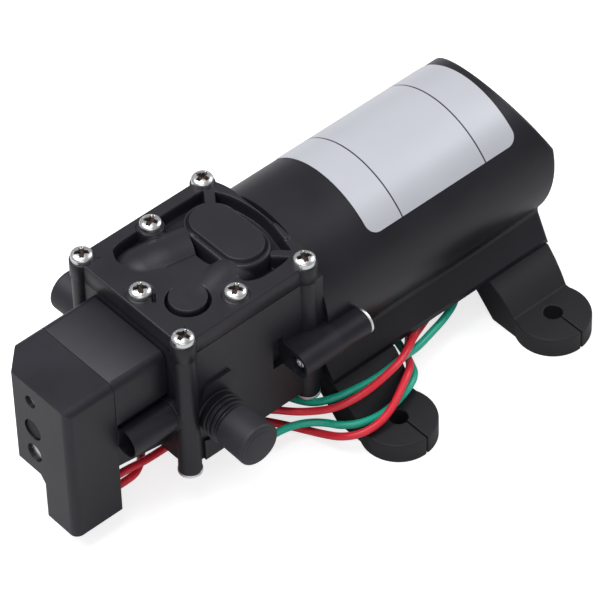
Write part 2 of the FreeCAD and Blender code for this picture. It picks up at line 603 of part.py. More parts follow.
def valve_cover():
    cover = body("valve_cover")
    rear = headX + 22.2
    pad(cover, "XY", seamZ, coverHigh, outlines=[[
        (headFront, -headHalf), (rear, -headHalf), (rear + 1.3, -13), (rear + 2.1, -5),
        (rear + 2.1, 5), (rear + 1.3, 13), (rear, headHalf), (headFront, headHalf)]])
    corners = [((x, side * cornerY), bossR + 0.3)
               for x in (frontScrewX, rearScrewX) for side in (-1, 1)]
    pad(cover, "XY", seamZ, coverHigh, rings=corners[:2])
    pad(cover, "XY", seamZ, coverHigh, rings=corners[2:])
    floor = coverTop - gapDeep
    # The deep gap runs down the left side and behind the valve chamber
    pocket(cover, "XY", coverTop, gapDeep, outlines=[[
        (headX - 16.9, 11.5), (headX - 16.9, 14.4), (headX - 14.8, 17.2), (rear - 2.6, 17.2),
        (rear - 0.8, 14.4), (rear + 0.9, 5.5), (rear + 0.9, -5.5), (rear - 0.8, -14.4),
        (rear - 2.6, -16.6), (headX + 8.0, -16.6), (headX + 4.6, -14.2), (headX + 4.6, -3.0),
        (headX + 1.4, -3.0), (headX + 1.4, 2.2), (headX - 8.6, 3.6), (headX - 13.0, 6.0)]])
    pad(cover, "XY", floor, coverTop - floor, rings=[
        ((headX, midScrewY), 3.4)])
    pad(cover, "XY", floor, coverTop - floor, rings=[
        ((headX + 4.2, -midScrewY + 0.6), 3.4)])
    # Valve chamber, a long round-ended block across the head, with its raised lid
    chamberTop = coverTop + chamberHigh
    straight = chamberLong / 2 - chamberWide / 2
    for top, rim in ((chamberTop - 0.9, 0), (chamberTop, 1.1)):
        half = chamberWide / 2 - rim
        pad(cover, "XY", floor, top - floor, outlines=[
            rect(crankX - half, -straight, crankX + half, straight)])
        for side in (-1, 1):
            pad(cover, "XY", floor, top - floor, rings=[((crankX, side * straight), half)])
    # Ribs from the rear corners to the chamber
    for side in (-1, 1):
        pad(cover, "XY", floor, coverTop - floor, outlines=[[
            (crankX + 3.0, side * (straight + 2.0)), (crankX + 5.4, side * (straight + 0.4)),
            (rearScrewX + 1.2, side * (cornerY - 3.4)),
            (rearScrewX - 1.4, side * (cornerY - 2.0))]])
    # Two half round ducts lead forward from the chamber
    ductEnd = crankX - chamberWide / 2 + 1
    leftStart = headX - 11.2
    for y, start in ((riserY, leftStart), (-riserY - 1.2, discX)):
        drawing = sketch(cover, "YZ", start)
        outline(drawing, duct_section(y, floor))
        feature(cover, "Pad", drawing, ductEnd - start)
    nose(cover, leftStart, riserY, floor)
    # Round pad at the front of the right duct, with the crescent slot round it
    pocket(cover, "XY", coverTop, 2.2, rings=[((discX - 0.7, -riserY - 2.2), discR + 0.9)])
    pad(cover, "XY", floor, coverTop + 0.3 - floor, rings=[((discX + 0.2, -riserY - 1.0), discR)])
    pocket(cover, "XY", coverTop, 2.2, outlines=[
        rect(headX - midScrewX + 3.3, -3.0, headX - midScrewX + 4.1, 1.4)])
    # Water ways in the underside
    deep = wayDeep
    lower = seamZ
    for y, end in ((riserY, crankX - 1.0), (-riserY, crankX - 5.4)):
        pocket(cover, "XY", lower, deep, reverse=True, outlines=[
            rect(portX, y - portBore, end, y + portBore)])
        pocket(cover, "XY", lower, deep, reverse=True, rings=[((portX, y), portBore)])
    pocket(cover, "XY", lower, deep, reverse=True, outlines=[
        rect(crankX - 5.0, -7.4, crankX - 0.9, 11.0)])
    pocket(cover, "XY", lower, deep, reverse=True, outlines=[
        rect(crankX + 0.9, -11.0, crankX + 5.0, 11.0)])
    pocket(cover, "XY", lower, deep, reverse=True, outlines=[
        rect(crankX - 6.0, -11.0, crankX + 1.4, -8.8)])
    holes = [((x, side * cornerY), screwR + 0.25)
             for x in (frontScrewX, rearScrewX) for side in (-1, 1)]
    holes += [((headX, side * midScrewY), screwR + 0.25) for side in (-1, 1)]
    holes.append(((headX - midScrewX, 0), screwR + 0.25))
    pocket(cover, "XY", coverTop + 0.5, coverHigh + 1, rings=holes)


gapDeep = cell("gapDepth", 4.2, "deep gap in the cover")
wayDeep = cell("wayDepth", 2.8, "water ways in the cover's underside")
chamberHigh = cell("chamberHeight", 2.1, "valve chamber above the cover flange")
chamberLong = cell("chamberLength", 27.0, "valve chamber across the head")
chamberWide = cell("chamberWidth", 13.8, "valve chamber along the shaft")
ductR = cell("ductRadius", 5.4, "half round ducts of the cover")
ductZ = cell("ductCentre", 56.6, "centre height of the half round ducts")
discX = cell("discX", -35.3, "round pad of the right duct")
discR = cell("discRadius", 5.7, "round pad of the right duct")


def duct_section(y, floor):
    """The upper half of a duct's circle as a many-sided outline, closed along the floor."""
    steps = 12
    points = [(y - ductR, floor)]
    for i in range(steps + 1):
        angle = math.pi * i / steps
        points.append((y - ductR * round(math.cos(angle), 6),
                       ductZ + 1.2 + (ductR - 1.2) * round(math.sin(angle), 6)))
    points.append((y + ductR, floor))
    return points


def nose(cover, x, y, floor):
    """Rounded front end of the left duct."""
    steps = 8
    drawing = sketch(cover, "XZ", y, (x, 0))
    points = [(0, floor), (0, ductZ + ductR)]
    for i in range(1, steps + 1):
        angle = math.pi / 2 * i / steps
        points.append((-ductR * round(math.sin(angle), 6),
                       ductZ + 1.2 + (ductR - 1.2) * round(math.cos(angle), 6)))
    points.append((-ductR, floor))
    outline(drawing, points)
    spun = cover.newObject("PartDesign::Revolution", "Nose")
    spun.Profile = drawing
    spun.ReferenceAxis = (drawing, ["V_Axis"])
    spun.Angle = 360


def head_stack():
    plate = body("valve_plate")
    low = deckZ + sheetThick
    plan = rect(crankX - plateHalfX, -plateHalfY, crankX + plateHalfX, plateHalfY)
    pad(plate, "XY", low, seamZ - fitGap - low, outlines=[plan])
    pumps = [((crankX, side * plungerY), pumpR) for side in (-1, 1)]
    pocket(plate, "XY", low, chamberDeep, reverse=True, rings=pumps)
    ports = []
    for side in (-1, 1):
        for x in (-3.1, 3.0):
            ports.append(((crankX + x, side * plungerY), 0.9))
    pocket(plate, "XY", seamZ, seamZ - low - chamberDeep + 0.5, rings=ports)
    discs = []
    for side in (-1, 1):
        discs.append(cylinder(1.9, 0.5, (crankX + 3.0, side * plungerY, seamZ), "z"))
        discs.append(cylinder(0.8, 1.6, (crankX + 3.0, side * plungerY, seamZ - 1.6), "z"))
        under = low + chamberDeep
        discs.append(cylinder(1.5, 0.4, (crankX - 3.1, side * plungerY, under - 0.45), "z"))
        discs.append(cylinder(0.8, 1.4, (crankX - 3.1, side * plungerY, under - 0.05), "z"))
    node(union(discs), "check_valves")
    rubber = body("diaphragm")
    pad(rubber, "XY", deckZ, sheetThick, outlines=[plan],
        rings=[((crankX, side * plungerY), 1.15) for side in (-1, 1)])
    hx, hy = plateHalfX + fitGap, plateHalfY + fitGap
    seal = body("cover_seal")
    pad(seal, "XY", seamZ - sealDeep, sealDeep - 0.05, outlines=[
        rect(crankX - hx - 1.7, -hy - 1.7, crankX + hx + 1.7, hy + 1.7),
        rect(crankX - hx - 0.6, -hy - 0.6, crankX + hx + 0.6, hy + 0.6)])
    rings_ = []
    for side in (-1, 1):
        outer = cylinder(sealR - 0.1, sealDeep - 0.05,
                         (portX, side * riserY, seamZ - sealDeep), "z")
        inner = cylinder(portBore + 0.2, 2, (portX, side * riserY, seamZ - sealDeep - 0.5), "z")
        rings_.append(minus(outer, [inner]))
    node(union(rings_), "riser_seals")
    washers = []
    for side in (-1, 1):
        y = side * plungerY
        washers.append(cylinder(3.6, 0.8, (crankX, y, low), "z"))
        washers.append(cylinder(1.3, 0.5, (crankX, y, low + 0.8), "z"))
        washers.append(cylinder(1.0, 5.4, (crankX, y, low - 5.4), "z"))
    node(union(washers), "diaphragm_plungers")
    rocker = body("rocker")
    ringBore = bearingR + ringPlay
    ringOut = ringBore + ringWall
    half = rockerLong / 2
    barTop = deckZ - deckThick - 1.0
    pad(rocker, "YZ", crankX - half, rockerLong, rings=[((0, axisZ), ringOut)])
    pad(rocker, "YZ", crankX - half, rockerLong, outlines=[
        rect(-plungerY - 2.9, barTop - 2.4, plungerY + 2.9, barTop)])
    for side in (-1, 1):
        pad(rocker, "XY", barTop - 1, deckZ - barTop + 1,
            rings=[((crankX, side * plungerY), 2.9)])
    pocket(rocker, "YZ", crankX + half + 1, rockerLong + 2, rings=[((0, axisZ), ringBore)])
    pocket(rocker, "XY", deckZ, deckZ - barTop + 3.6,
           rings=[((crankX, side * plungerY), 1.05) for side in (-1, 1)])
    heads = []
    nuts = []
    through = coverTop - bossFoot
    spots = [(x, side * cornerY, through) for x in (frontScrewX, rearScrewX) for side in (-1, 1)]
    spots += [(headX, -midScrewY, screwLong), (headX, midScrewY, screwLong)]
    spots.append((headX - midScrewX, size(0), screwLong))
    for x, y, long in spots:
        heads.append(cylinder(screwHead, screwHeadHigh, (x, y, coverTop + 0.02), "z"))
        heads.append(cylinder(screwR, long, (x, y, coverTop - long + 0.02), "z"))
    node(union(heads), "cover_screws")
    for x, y, long in spots[:4]:
        nut = cylinder(nutR, nutDeep + nutProud, (x, y, bossFoot - nutProud), "z")
        nuts.append(minus(nut, [cylinder(screwR + 0.03, 9, (x, y, bossFoot - 4), "z")]))
    node(union(nuts), "corner_nuts")


def ports():
    wall = portFace
    for name, side in (("outlet", -1), ("inlet", 1)):
        neckEnd = wall + neckLong
        threadEnd = neckEnd + threadLong
        stubEnd = threadEnd + stubLong
        capR = stubR + fitGap + capWall
        profile = [
            (wall - spigotLong + 0.1, portBore), (wall - spigotLong + 0.1, neckR),
            (neckEnd, neckR), (neckEnd, threadR), (threadEnd, threadR),
            (threadEnd, stubR), (stubEnd, stubR), (stubEnd, portBore)]
        turned(f"{name}_port", "y", (portX, portZ), [(side * y, r) for y, r in profile])
        capIn = stubR + fitGap
        start = threadEnd + 0.1
        end = stubEnd + 0.1 + capEnd
        cap = [
            (start, capIn), (start, capR - 0.2), (end - 4.6, capR - 0.4), (end - 3.6, capR),
            (end - 1.0, capR), (end, capR - 1.0), (end, 0), (stubEnd + 0.1, 0),
            (stubEnd + 0.1, capIn)]
        turned(f"{name}_cap", "y", (portX, portZ), [(side * y, r) for y, r in cap])


def feet():
    neck, head = slotNeck / 2 - slotGap, slotHead / 2 - slotGap
    lip = baseZ + slotLip
    top = baseZ - 0.3
    rail = baseHalf + 0.4
    for end, x in (("front", footFrontX), ("rear", footRearX)):
        for name, side in (("left", -1), ("right", 1)):
            foot = body(f"foot_{end}_{name}")
            section = [
                (slotY - neck, top), (slotY - neck, lip + slotGap),
                (slotY - head, lip + slotGap), (slotY - head, lip + slotHigh - slotGap),
                (slotY + head, lip + slotHigh - slotGap), (slotY + head, lip + slotGap),
                (slotY + neck, lip + slotGap), (slotY + neck, top), (rail, top),
                (rail + 4.0, top - 2.1), (rail + 6.8, top - 4.2), (footY - 5.2, padHigh),
                (footY, padHigh), (footY, 0), (footY - 13.6, 0), (slotY + 1.5, top - 6.0),
                (slotY - 2.6, top - 5.0), (slotY - 2.6, top)]
            pad(foot, "YZ", x - legFore, legFore + legAft,
                outlines=[[(side * y, z) for y, z in section]])
            pocket(foot, "XY", padHigh + 16, padHigh + 17, outlines=[[
                (x + legAft, side * rail), (x + legAft - legTaper, side * (footY - 5.2)),
                (x + legAft - legTaper, side * (footY + 1)), (x + legAft + 1, side * (footY + 1)),
                (x + legAft + 1, side * rail)]])
            pad(foot, "XY", 0, padHigh, rings=[((x, side * footY), padR)])
            pocket(foot, "XY", padHigh + 6, padHigh + 7,
                   rings=[((x, side * footY), footHoleR)])
            pocket(foot, "XY", padHigh + 1, padHigh + 2, outlines=[rect(
                x + slitShift - footSlit / 2, side * (footY + footHoleR - 0.6),
                x + slitShift + footSlit / 2, side * (footY + padR + 1))])


def switch_box():
    shell = body("switch_body")
    depth = headFront - boxSeam
    shelf = axisZ - shelfDrop
    belly = axisZ - bellyDrop
    pad(shell, "YZ", boxSeam, depth, outlines=[rect(-boxHalf, shelf, boxHalf, boxTop)])
    pad(shell, "YZ", boxSeam, depth, outlines=[rect(-waistHalf, belly, waistHalf, shelf + 1)])
    pocket(shell, "XZ", -boxHalf - 1, boxHalf * 2 + 2, outlines=[[
        (boxSeam - 1, boxBottom), (boxSeam, boxBottom), (headFront, belly),
        (headFront + 1, belly), (headFront + 1, belly - 1), (boxSeam - 1, belly - 1)]])
    channel = tubeY - tubeR
    pocket(shell, "YZ", tubeFront, tubeFront - boxSeam + 1, outlines=[
        rect(side * channel, boxBottom + 0.6, side * (boxHalf + 1), shelf) for side in (-1, 1)])
    pad(shell, "YZ", tubeFront, headFront - tubeFront,
        rings=[((side * tubeY, tubeZ), tubeR) for side in (-1, 1)])
    pocket(shell, "YZ", headFront + 1, headFront - tubeFront + 3,
           rings=[((side * tubeY, tubeZ), screwR + 0.25) for side in (-1, 1)])
    pocket(shell, "YZ", headFront - 4.4, 9,
           rings=[((side * tubeY, tubeZ), 2.9) for side in (-1, 1)])
    pocket(shell, "YZ", headFront + 1, 5.2, rings=[((0, switchZ), 7.0)])
    pocket(shell, "YZ", headFront + 1, depth + 2, rings=[((0, switchZ), 2.2)])
    pocket(shell, "YZ", boxSeam + 7, 8,
           rings=[((0, z), screwR + 0.05) for z in (upperScrewZ, lowerScrewZ)])
    rounded(shell, boxRound, lambda e: lengthwise(e, boxTop))

    cover = body("switch_cover")
    depth = boxSeam - boxFront
    pad(cover, "YZ", boxFront, depth, outlines=[[
        (-boxHalf, legBottom), (legInner, legBottom), (legInner, boxBottom - 2.2),
        (legInner + 1.8, boxBottom), (boxHalf, boxBottom), (boxHalf, boxTop),
        (-boxHalf, boxTop)]])
    pocket(cover, "XY", boxTop + 1, boxTop - legBottom + 2, outlines=[[
        (boxFront - 1, boxHalf + 1), (boxFront - 1, boxHalf - boxChamfer - 1),
        (boxFront + boxChamfer + 1, boxHalf + 1)]])
    rounded(cover, boxRound, lambda e: lengthwise(e, boxTop)
            or upright(e, boxFront, -boxHalf))
    inner = boxHalf - boxWall
    front = boxFront + boxWall
    pocket(cover, "XY", boxTop - boxWall, boxTop - boxBottom - boxWall * 2, outlines=[[
        (boxSeam + 1, -inner), (front, -inner), (front, inner - boxChamfer + 0.8),
        (front + boxChamfer - 0.8, inner), (boxSeam + 1, inner)]])
    pocket(cover, "XY", boxBottom + boxWall + 1, boxBottom - legBottom + 1, outlines=[
        rect(front, -inner, boxSeam + 1, legInner - boxWall)])
    for z in (upperScrewZ, lowerScrewZ):
        pad(cover, "YZ", front - 0.5, depth - boxWall + 0.5, rings=[((0, z), 3.1)])
    pocket(cover, "YZ", boxSeam + 1, depth + 2,
           rings=[((0, z), screwR + 0.25) for z in (upperScrewZ, lowerScrewZ)])
    pocket(cover, "YZ", front + 0.4, 4,
           rings=[((0, upperScrewZ), 1.9), ((0, switchZ), 3.2), ((0, lowerScrewZ), 2.8)])


def lengthwise(edge, z):
    """True for the long edges along X at a height, at the two sides of the switch box."""
    ends = [v.Point for v in edge.Vertexes]
    return (len(ends) == 2 and abs(ends[0].x - ends[1].x) > 5
            and all(abs(p.z - z.value) < 0.01 for p in ends)
            and all(abs(abs(p.y) - boxHalf.value) < 0.01 for p in ends))


def switch_inside():
    front = boxFront + boxWall
    screws = []
    for z, headR in ((upperScrewZ, 1.7), (lowerScrewZ, 2.6)):
        start = front - 0.9
        screws.append(cylinder(headR, 1.3, (start, 0, z), "x"))
        screws.append(cylinder(screwR, boxSeam + 5 - start, (start, 0, z), "x"))
    node(union(screws), "switch_screws")
    mounts = []
    for side in (-1, 1):
        seat = headFront - 4.45
        mounts.append(cylinder(2.6, 1.8, (seat - 1.8, side * tubeY, tubeZ), "x"))
        mounts.append(cylinder(screwR, 9.0, (seat, side * tubeY, tubeZ), "x"))
    node(union(mounts), "switch_mount_screws")
    turned("switch_diaphragm", "x", (0, switchZ), [
        (headFront - 1.25, 0), (headFront - 1.25, 6.9), (headFront - 0.05, 6.9),
        (headFront - 0.05, 0)])
    plunger = body("switch_plunger")
    arm = boxSeam - 0.5
    pad(plunger, "YZ", arm, headFront - 1.3 - arm, rings=[((0, switchZ), 2.1)])
    pad(plunger, "YZ", headFront - 2.7, 1.4, rings=[((0, switchZ), 5.6)])
    pad(plunger, "YZ", arm - 1.2, 1.3, outlines=[[
        (-12.2, microTop - 3.2), (-7.8, microTop - 3.2), (-7.8, switchZ - 3.0),
        (4.4, switchZ - 3.0), (4.4, switchZ + 3.0), (-12.2, switchZ + 3.0)]])
    pad(plunger, "YZ", arm - 3.4, 2.3, rings=[((0, switchZ), 2.6)])
    seatX = front + 1.1
    turned("spring_seat", "x", (0, switchZ), [
        (seatX, 1.55), (seatX, 4.7), (seatX + 1.4, 4.7), (seatX + 1.4, 2.7),
        (seatX + 2.6, 2.7), (seatX + 2.6, 1.55)])
    springFront = seatX + 1.4
    springRear = arm - 1.2
    wire = cylinder(3.9, springRear - springFront, (springFront, 0, switchZ), "x")
    node(minus(wire, [cylinder(2.9, 20, (springFront - 2, 0, switchZ), "x")]),
         "adjusting_spring")
    turned("adjusting_screw", "x", (0, switchZ), [
        (boxFront + 0.5, 0), (boxFront + 0.5, 2.9), (front + 0.4, 2.9), (front + 0.4, 1.5),
        (seatX + 4.2, 1.5), (seatX + 4.2, 0)])
    micro = body("microswitch")
    face = arm - 1.2 - 1.7
    pad(micro, "YZ", face - 9.2, 9.2, outlines=[
        rect(-12.9, microTop - microLong, -6.4, microTop)])
    pad(micro, "YZ", face - 0.5, terminalX - face + 0.5, outlines=[
        rect(terminalY - 1.2, z - 0.4, terminalY + 1.2, z + 0.4)
        for z in (linkZ, supplyZ)])
    pocket(micro, "YZ", face, 2.6, outlines=[
        rect(-10.7, microTop - 2.7, -8.7, microTop - 0.6)])
    node(block((face - 1.3, -10.6, microTop - 2.6), (arm - 1.25, -8.8, microTop - 0.7)),
         "microswitch_button")


microTop = cell("microTop", 29.6, "top of the microswitch")
microLong = cell("microLength", 19.8, "length of the microswitch")
terminalX = cell("terminalX", -68.4, "ends of the microswitch's terminals")
terminalY = cell("terminalY", -11.3, "terminals of the microswitch")
linkZ = cell("linkTerminalZ", 15.6, "upper terminal")
supplyZ = cell("supplyTerminalZ", 11.4, "lower terminal")


def joint_screws():
    screws = []
    nuts = []
    for side in (-1, 1):
        y = side * earY
        screws.append(cylinder(2.7, 2.0, (earFront + 0.35, y, earZ), "x"))
        screws.append(cylinder(1.55, earRear - earFront + 0.2, (earFront + 1, y, earZ), "x"))
        plate = cylinder(washerR, washerThick, (earRear + 0.02, y, earZ), "x")
        nuts.append(minus(plate, [
            cylinder(1.6, 9, (earRear - 2, y, earZ), "x"),
            cylinder(housingR + 0.1, 9, (earRear - 2, 0, axisZ), "x")]))
    node(union(screws), "joint_screws")
    node(union(nuts), "joint_nuts")


def motor_label():
    outer = cylinder(housingR + 0.02 + labelThick, labelRear - labelFront,
                     (labelFront, 0, axisZ), "x")
    inner = cylinder(housingR + 0.02, labelRear - labelFront + 2,
                     (labelFront - 1, 0, axisZ), "x")
    outer.Placement = Placement(
        outer.Placement.Base,
        Rotation(Vector(1, 0, 0), 180 - labelSpan.value / 2).multiply(turns["x"]))
    bind(outer, "Angle", labelSpan)
    for axis, number in zip("xyz", (labelFront, 0, axisZ)):
        bind(outer, f"Placement.Base.{axis}", number)
    node(minus(outer, [inner]), "motor_label")


def lead_outlet():
    wall = axisZ - boreR
    turned("lead_grommet", "z", (grommetX, 0), [
        (outletZ, 0), (outletZ, grommetR + 1.2), (baseZ - 0.4, grommetR + 1.2),
        (baseZ - 0.4, grommetR - 0.1), (wall - 0.1, grommetR - 0.1), (wall - 0.1, 0)])


outletZ = cell("outletZ", 12.6, "underside of the lead grommet")
leadPitch = cell("leadPitch", 1.84, "offset of the two leads in the grommet")
bareR = cell("bareRadius", 0.7, "tinned end of a lead")
bareLong = cell("bareLength", 6.0, "length of a tinned end")


def lead(name, route):
    """An insulated lead along straight runs that arcs join, as it lies under the pump."""
    points = [Vector(*[size(c).value for c in at]) for at in route]
    runs = [points[i + 1] - points[i] for i in range(len(points) - 1)]
    edges, radii, start = [], [], points[0]
    for i in range(1, len(points) - 1):
        before = Vector(runs[i - 1]).normalize()
        after = Vector(runs[i]).normalize()
        turn = before.getAngle(after)
        back = 0.45 * min(runs[i - 1].Length, runs[i].Length)
        radii.append(back / math.tan(turn / 2))
        enter = points[i] - before * back
        leave = points[i] + after * back
        inward = (after - before).normalize()
        rise = radii[-1] / math.cos(turn / 2) - radii[-1]
        edges.append(Part.LineSegment(start, enter).toShape())
        edges.append(Part.Arc(enter, points[i] + inward * rise, leave).toShape())
        start = leave
    edges.append(Part.LineSegment(start, points[-1]).toShape())
    path = Part.Wire(edges)
    radius = leadR.value
    end = Part.Wire(Part.makeCircle(radius, points[0], runs[0]))
    sweep = Part.BRepOffsetAPI.MakePipeShell(path)
    sweep.add(end)
    sweep.build()
    sweep.makeSolid()
    tube = sweep.shape()
    ideal = math.pi * radius ** 2 * path.Length
    print(f"{name}: length {path.Length:.1f}, least radius {min(radii):.1f}, "
          f"volume {tube.Volume:.1f} of {ideal:.1f}, lowest {tube.BoundBox.ZMin:.2f}")
    made = doc.addObject("Part::Feature", name)
    made.Shape = tube
    made.Placement = Placement()
    node(made, name)
    return points[-1], Vector(runs[-1]).normalize()


def leads():
    half = leadPitch / 2
    lead("lead_red_link", [
        (terminalX, terminalY, linkZ), (-62.6, terminalY, linkZ), (-55.4, -11.2, 14.0),
        (-46.4, -10.0, 12.2), (-37.0, -9.2, 10.8), (-28.0, -9.8, 9.7), (-20.6, -12.6, 9.2),
        (-15.2, -16.8, 9.0), (-11.6, -21.6, 9.2), (-8.0, -25.8, 10.2), (-4.6, -29.8, 12.0),
        (-0.2, -32.6, 14.4), (5.4, -33.6, 15.8), (11.4, -33.2, 16.4), (17.2, -32.0, 16.4),
        (22.6, -29.4, 15.6), (27.8, -25.6, 13.2), (33.6, -21.8, 9.6), (41.0, -17.8, 6.8),
        (49.0, -13.0, 4.4), (56.0, -8.0, 3.1), (62.1, -2.1, 3.0), (grommetX - half, half, 7.2),
        (grommetX - half, half, outletZ)])
    ends = [lead("lead_green_supply", [
        (grommetX + half, -half, outletZ), (grommetX + half, -half, 7.2), (63.9, -3.9, 3.0),
        (58.6, -9.8, 3.3), (53.4, -15.4, 5.2), (48.0, -20.0, 7.4), (41.4, -23.2, 8.9),
        (34.6, -25.4, 10.0), (28.0, -27.3, 10.6), (22.4, -29.0, 13.0), (15.8, -30.4, 14.1),
        (9.4, -31.2, 14.7), (3.2, -30.6, 14.9), (-2.0, -28.4, 13.4), (-6.2, -24.6, 11.2),
        (-8.0, -19.8, 9.4), (-9.8, -13.6, 8.7), (-13.8, -8.2, 8.1), (-19.8, -5.0, 7.5),
        (-26.0, -6.9, 7.1), (-28.9, -12.6, 6.8), (-27.2, -18.8, 6.5), (-21.6, -21.6, 6.3),
        (-15.0, -22.2, 6.2), (-9.8, -24.6, 6.2), (-6.4, -28.4, 6.6), (-4.8, -32.4, 7.4),
        (-1.0, -36.0, 8.2), (4.6, -37.4, 8.2), (11.0, -37.0, 8.2), (16.3, -36.2, 9.7),
        (21.2, -33.6, 9.3), (25.2, -27.8, 5.8), (28.2, -21.6, 4.1), (30.8, -14.4, 2.9),
        (32.0, -6.0, 2.3), (31.0, 2.6, 2.1), (27.6, 10.4, 2.1)])]
    ends.append(lead("lead_red_supply", [
        (terminalX, terminalY, supplyZ), (-63.4, terminalY, supplyZ), (-58.4, -11.0, 11.0),
        (-54.4, -8.4, 10.4), (-51.2, -4.6, 9.4), (-46.6, -1.4, 8.0), (-39.6, 0.0, 6.2),
        (-31.0, -1.8, 4.2), (-22.6, -6.4, 2.9), (-16.0, -12.8, 2.2), (-11.6, -19.6, 2.0),
        (-9.0, -25.6, 2.7), (-8.0, -30.6, 4.6), (-7.0, -35.0, 6.6), (-3.8, -38.6, 8.0),
        (1.4, -40.2, 9.2), (7.2, -39.4, 10.5), (12.8, -36.8, 11.6), (18.0, -34.2, 12.6),
        (22.2, -30.7, 11.0), (25.4, -25.4, 7.8), (30.2, -21.2, 6.4), (35.4, -15.6, 4.9),
        (39.0, -8.4, 3.4), (40.2, 0.2, 2.4), (38.6, 9.0, 2.1), (33.6, 16.4, 2.1)]))
    tips = []
    for at, along in ends:
        tip = doc.addObject("Part::Cylinder", "Tip")
        bind(tip, "Radius", bareR)
        bind(tip, "Height", bareLong)
        tip.Placement = Placement(at, Rotation(Vector(0, 0, 1), along))
        tips.append(tip)
    node(union(tips), "lead_ends")


motor_housing()
motor_inside()
rotor()
pump_head()
valve_cover()
head_stack()
ports()
feet()
switch_box()
switch_inside()
joint_screws()
motor_label()
lead_outlet()
leads()
doc.recompute()

problems = [f"{o.Name} {o.Label}: {o.State}" for o in doc.Objects
            if "Invalid" in o.State or "Error" in o.State]
for name, thing in nodes.items():
    if thing.Shape.isNull() or not thing.Shape.isValid():
        problems.append(f"{name}: no valid shape")
if not problems:
    for thing in doc.Objects:
        if thing.TypeId == "PartDesign::Pocket":
            before = thing.BaseFeature.Shape.Volume
            if thing.Shape.Volume > before - 1e-6:
                owner = thing.getParentGeoFeatureGroup().Label
                problems.append(f"{thing.Name} of {owner} cuts nothing")
if problems:
    raise SystemExit("\n".join(problems))

os.makedirs("parts", exist_ok=True)
for name, thing in nodes.items():
    thing.Shape.exportStep(f"parts/{name}.step")
print(f"{len(nodes)} nodes written")
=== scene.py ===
# Diaphragm pump: finer surfaces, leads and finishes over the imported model
import json
import bmesh
import bpy
import numpy as np
from mathutils import Matrix, Vector


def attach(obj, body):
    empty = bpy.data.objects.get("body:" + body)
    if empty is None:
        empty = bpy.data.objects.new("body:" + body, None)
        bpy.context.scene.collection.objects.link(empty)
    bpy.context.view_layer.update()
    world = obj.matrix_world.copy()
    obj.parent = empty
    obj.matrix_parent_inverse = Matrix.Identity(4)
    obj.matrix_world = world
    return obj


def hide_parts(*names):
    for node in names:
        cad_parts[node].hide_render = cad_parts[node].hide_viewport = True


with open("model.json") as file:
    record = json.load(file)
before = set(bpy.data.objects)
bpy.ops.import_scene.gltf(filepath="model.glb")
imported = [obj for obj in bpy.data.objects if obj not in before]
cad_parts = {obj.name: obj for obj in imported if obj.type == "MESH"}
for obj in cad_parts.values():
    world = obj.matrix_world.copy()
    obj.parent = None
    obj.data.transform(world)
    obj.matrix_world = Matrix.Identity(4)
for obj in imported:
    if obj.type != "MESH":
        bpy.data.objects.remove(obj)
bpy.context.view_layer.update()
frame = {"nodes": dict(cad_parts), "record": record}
scene = bpy.context.scene
print("frame loaded", len(frame["nodes"]), "nodes")

# Camera, placed from a fit to the screws, feet and switch box of the photograph
view = {"place": (-0.538017, -0.645308, 0.893086),
        "turn": ((0.7474028, 0.4880851, -0.4507349),
                 (-0.6640119, 0.5264788, -0.5309503),
                 (-0.0218466, 0.6961271, 0.7175861)),
        "lens": 269.44, "sensor": 36.0, "reach": 20.0}
camera = bpy.data.objects.new("camera", bpy.data.cameras.new("camera"))
camera.data.lens = view["lens"]
camera.data.sensor_width = view["sensor"]
camera.data.clip_end = view["reach"]
camera.matrix_world = Matrix.Translation(view["place"]) @ Matrix(view["turn"]).to_4x4()
scene.collection.objects.link(camera)
scene.camera = camera
print("camera placed")

# Finishes: what all plastics, metals and leads have in common, and then each one's own values
plasticLook = {"grainDetail": 3.0, "cloud": 55.0, "cloudDetail": 5.0, "cloudFrom": 0.3,
               "cloudTo": 0.75, "glossier": 0.07, "duller": 0.09, "bump": 0.35,
               "specular": 0.36}
metalLook = {"scratches": 260.0, "detail": 6.0, "dull": 0.86, "smoothest": 0.7, "roughest": 1.4}
leadLook = {"wax": 420.0, "detail": 2.0, "dull": 0.82, "smoothest": 0.28, "roughest": 0.42,
            "under": 0.06, "underReach": (0.001, 0.0006, 0.0006)}
plastics = {  # tone, roughness, grain, depth of the grain in metres, and how mottled it is
    "housingBlack": ((0.0095, 0.0090, 0.0125), 0.36, 2600.0, 0.00005, 0.25),
    "headBlack": ((0.0125, 0.0120, 0.0165), 0.40, 2200.0, 0.00007, 0.25),
    "switchBlack": ((0.0115, 0.0110, 0.0160), 0.40, 2200.0, 0.00007, 0.25),
    "portBlack": ((0.0125, 0.0120, 0.0160), 0.36, 2600.0, 0.00005, 0.25),
    "capRubber": ((0.0230, 0.0225, 0.0280), 0.52, 1800.0, 0.00006, 0.25),
    "footRubber": ((0.0085, 0.0080, 0.0105), 0.56, 1500.0, 0.00010, 0.35),
    "sealRubber": ((0.03, 0.03, 0.03), 0.6, 1500.0, 0.00006, 0.25),
    "nylon": ((0.72, 0.71, 0.66), 0.45, 1800.0, 0.00004, 0.05),
    "plateBrown": ((0.26, 0.19, 0.10), 0.5, 1500.0, 0.00004, 0.25),
    "ferrite": ((0.07, 0.07, 0.08), 0.5, 900.0, 0.00008, 0.25),
    "carbon": ((0.04, 0.04, 0.04), 0.55, 1500.0, 0.00006, 0.25),
    # painted shade: this dark tone on the screws' cross recesses stands in for the shadow in
    # them
    "paintedRecessShade": ((0.030, 0.018, 0.014), 0.5, 1500.0, 0.00004, 0.25),
}
metals = {  # tone and roughness
    "brightSteel": ((0.78, 0.78, 0.77), 0.26),
    "darkSteel": ((0.36, 0.36, 0.38), 0.38),
    "whitePlated": ((0.93, 0.93, 0.93), 0.42),
    "blackened": ((0.030, 0.030, 0.034), 0.5),
    "copper": ((0.72, 0.38, 0.20), 0.32),
    "tinned": ((0.72, 0.71, 0.68), 0.35),
}
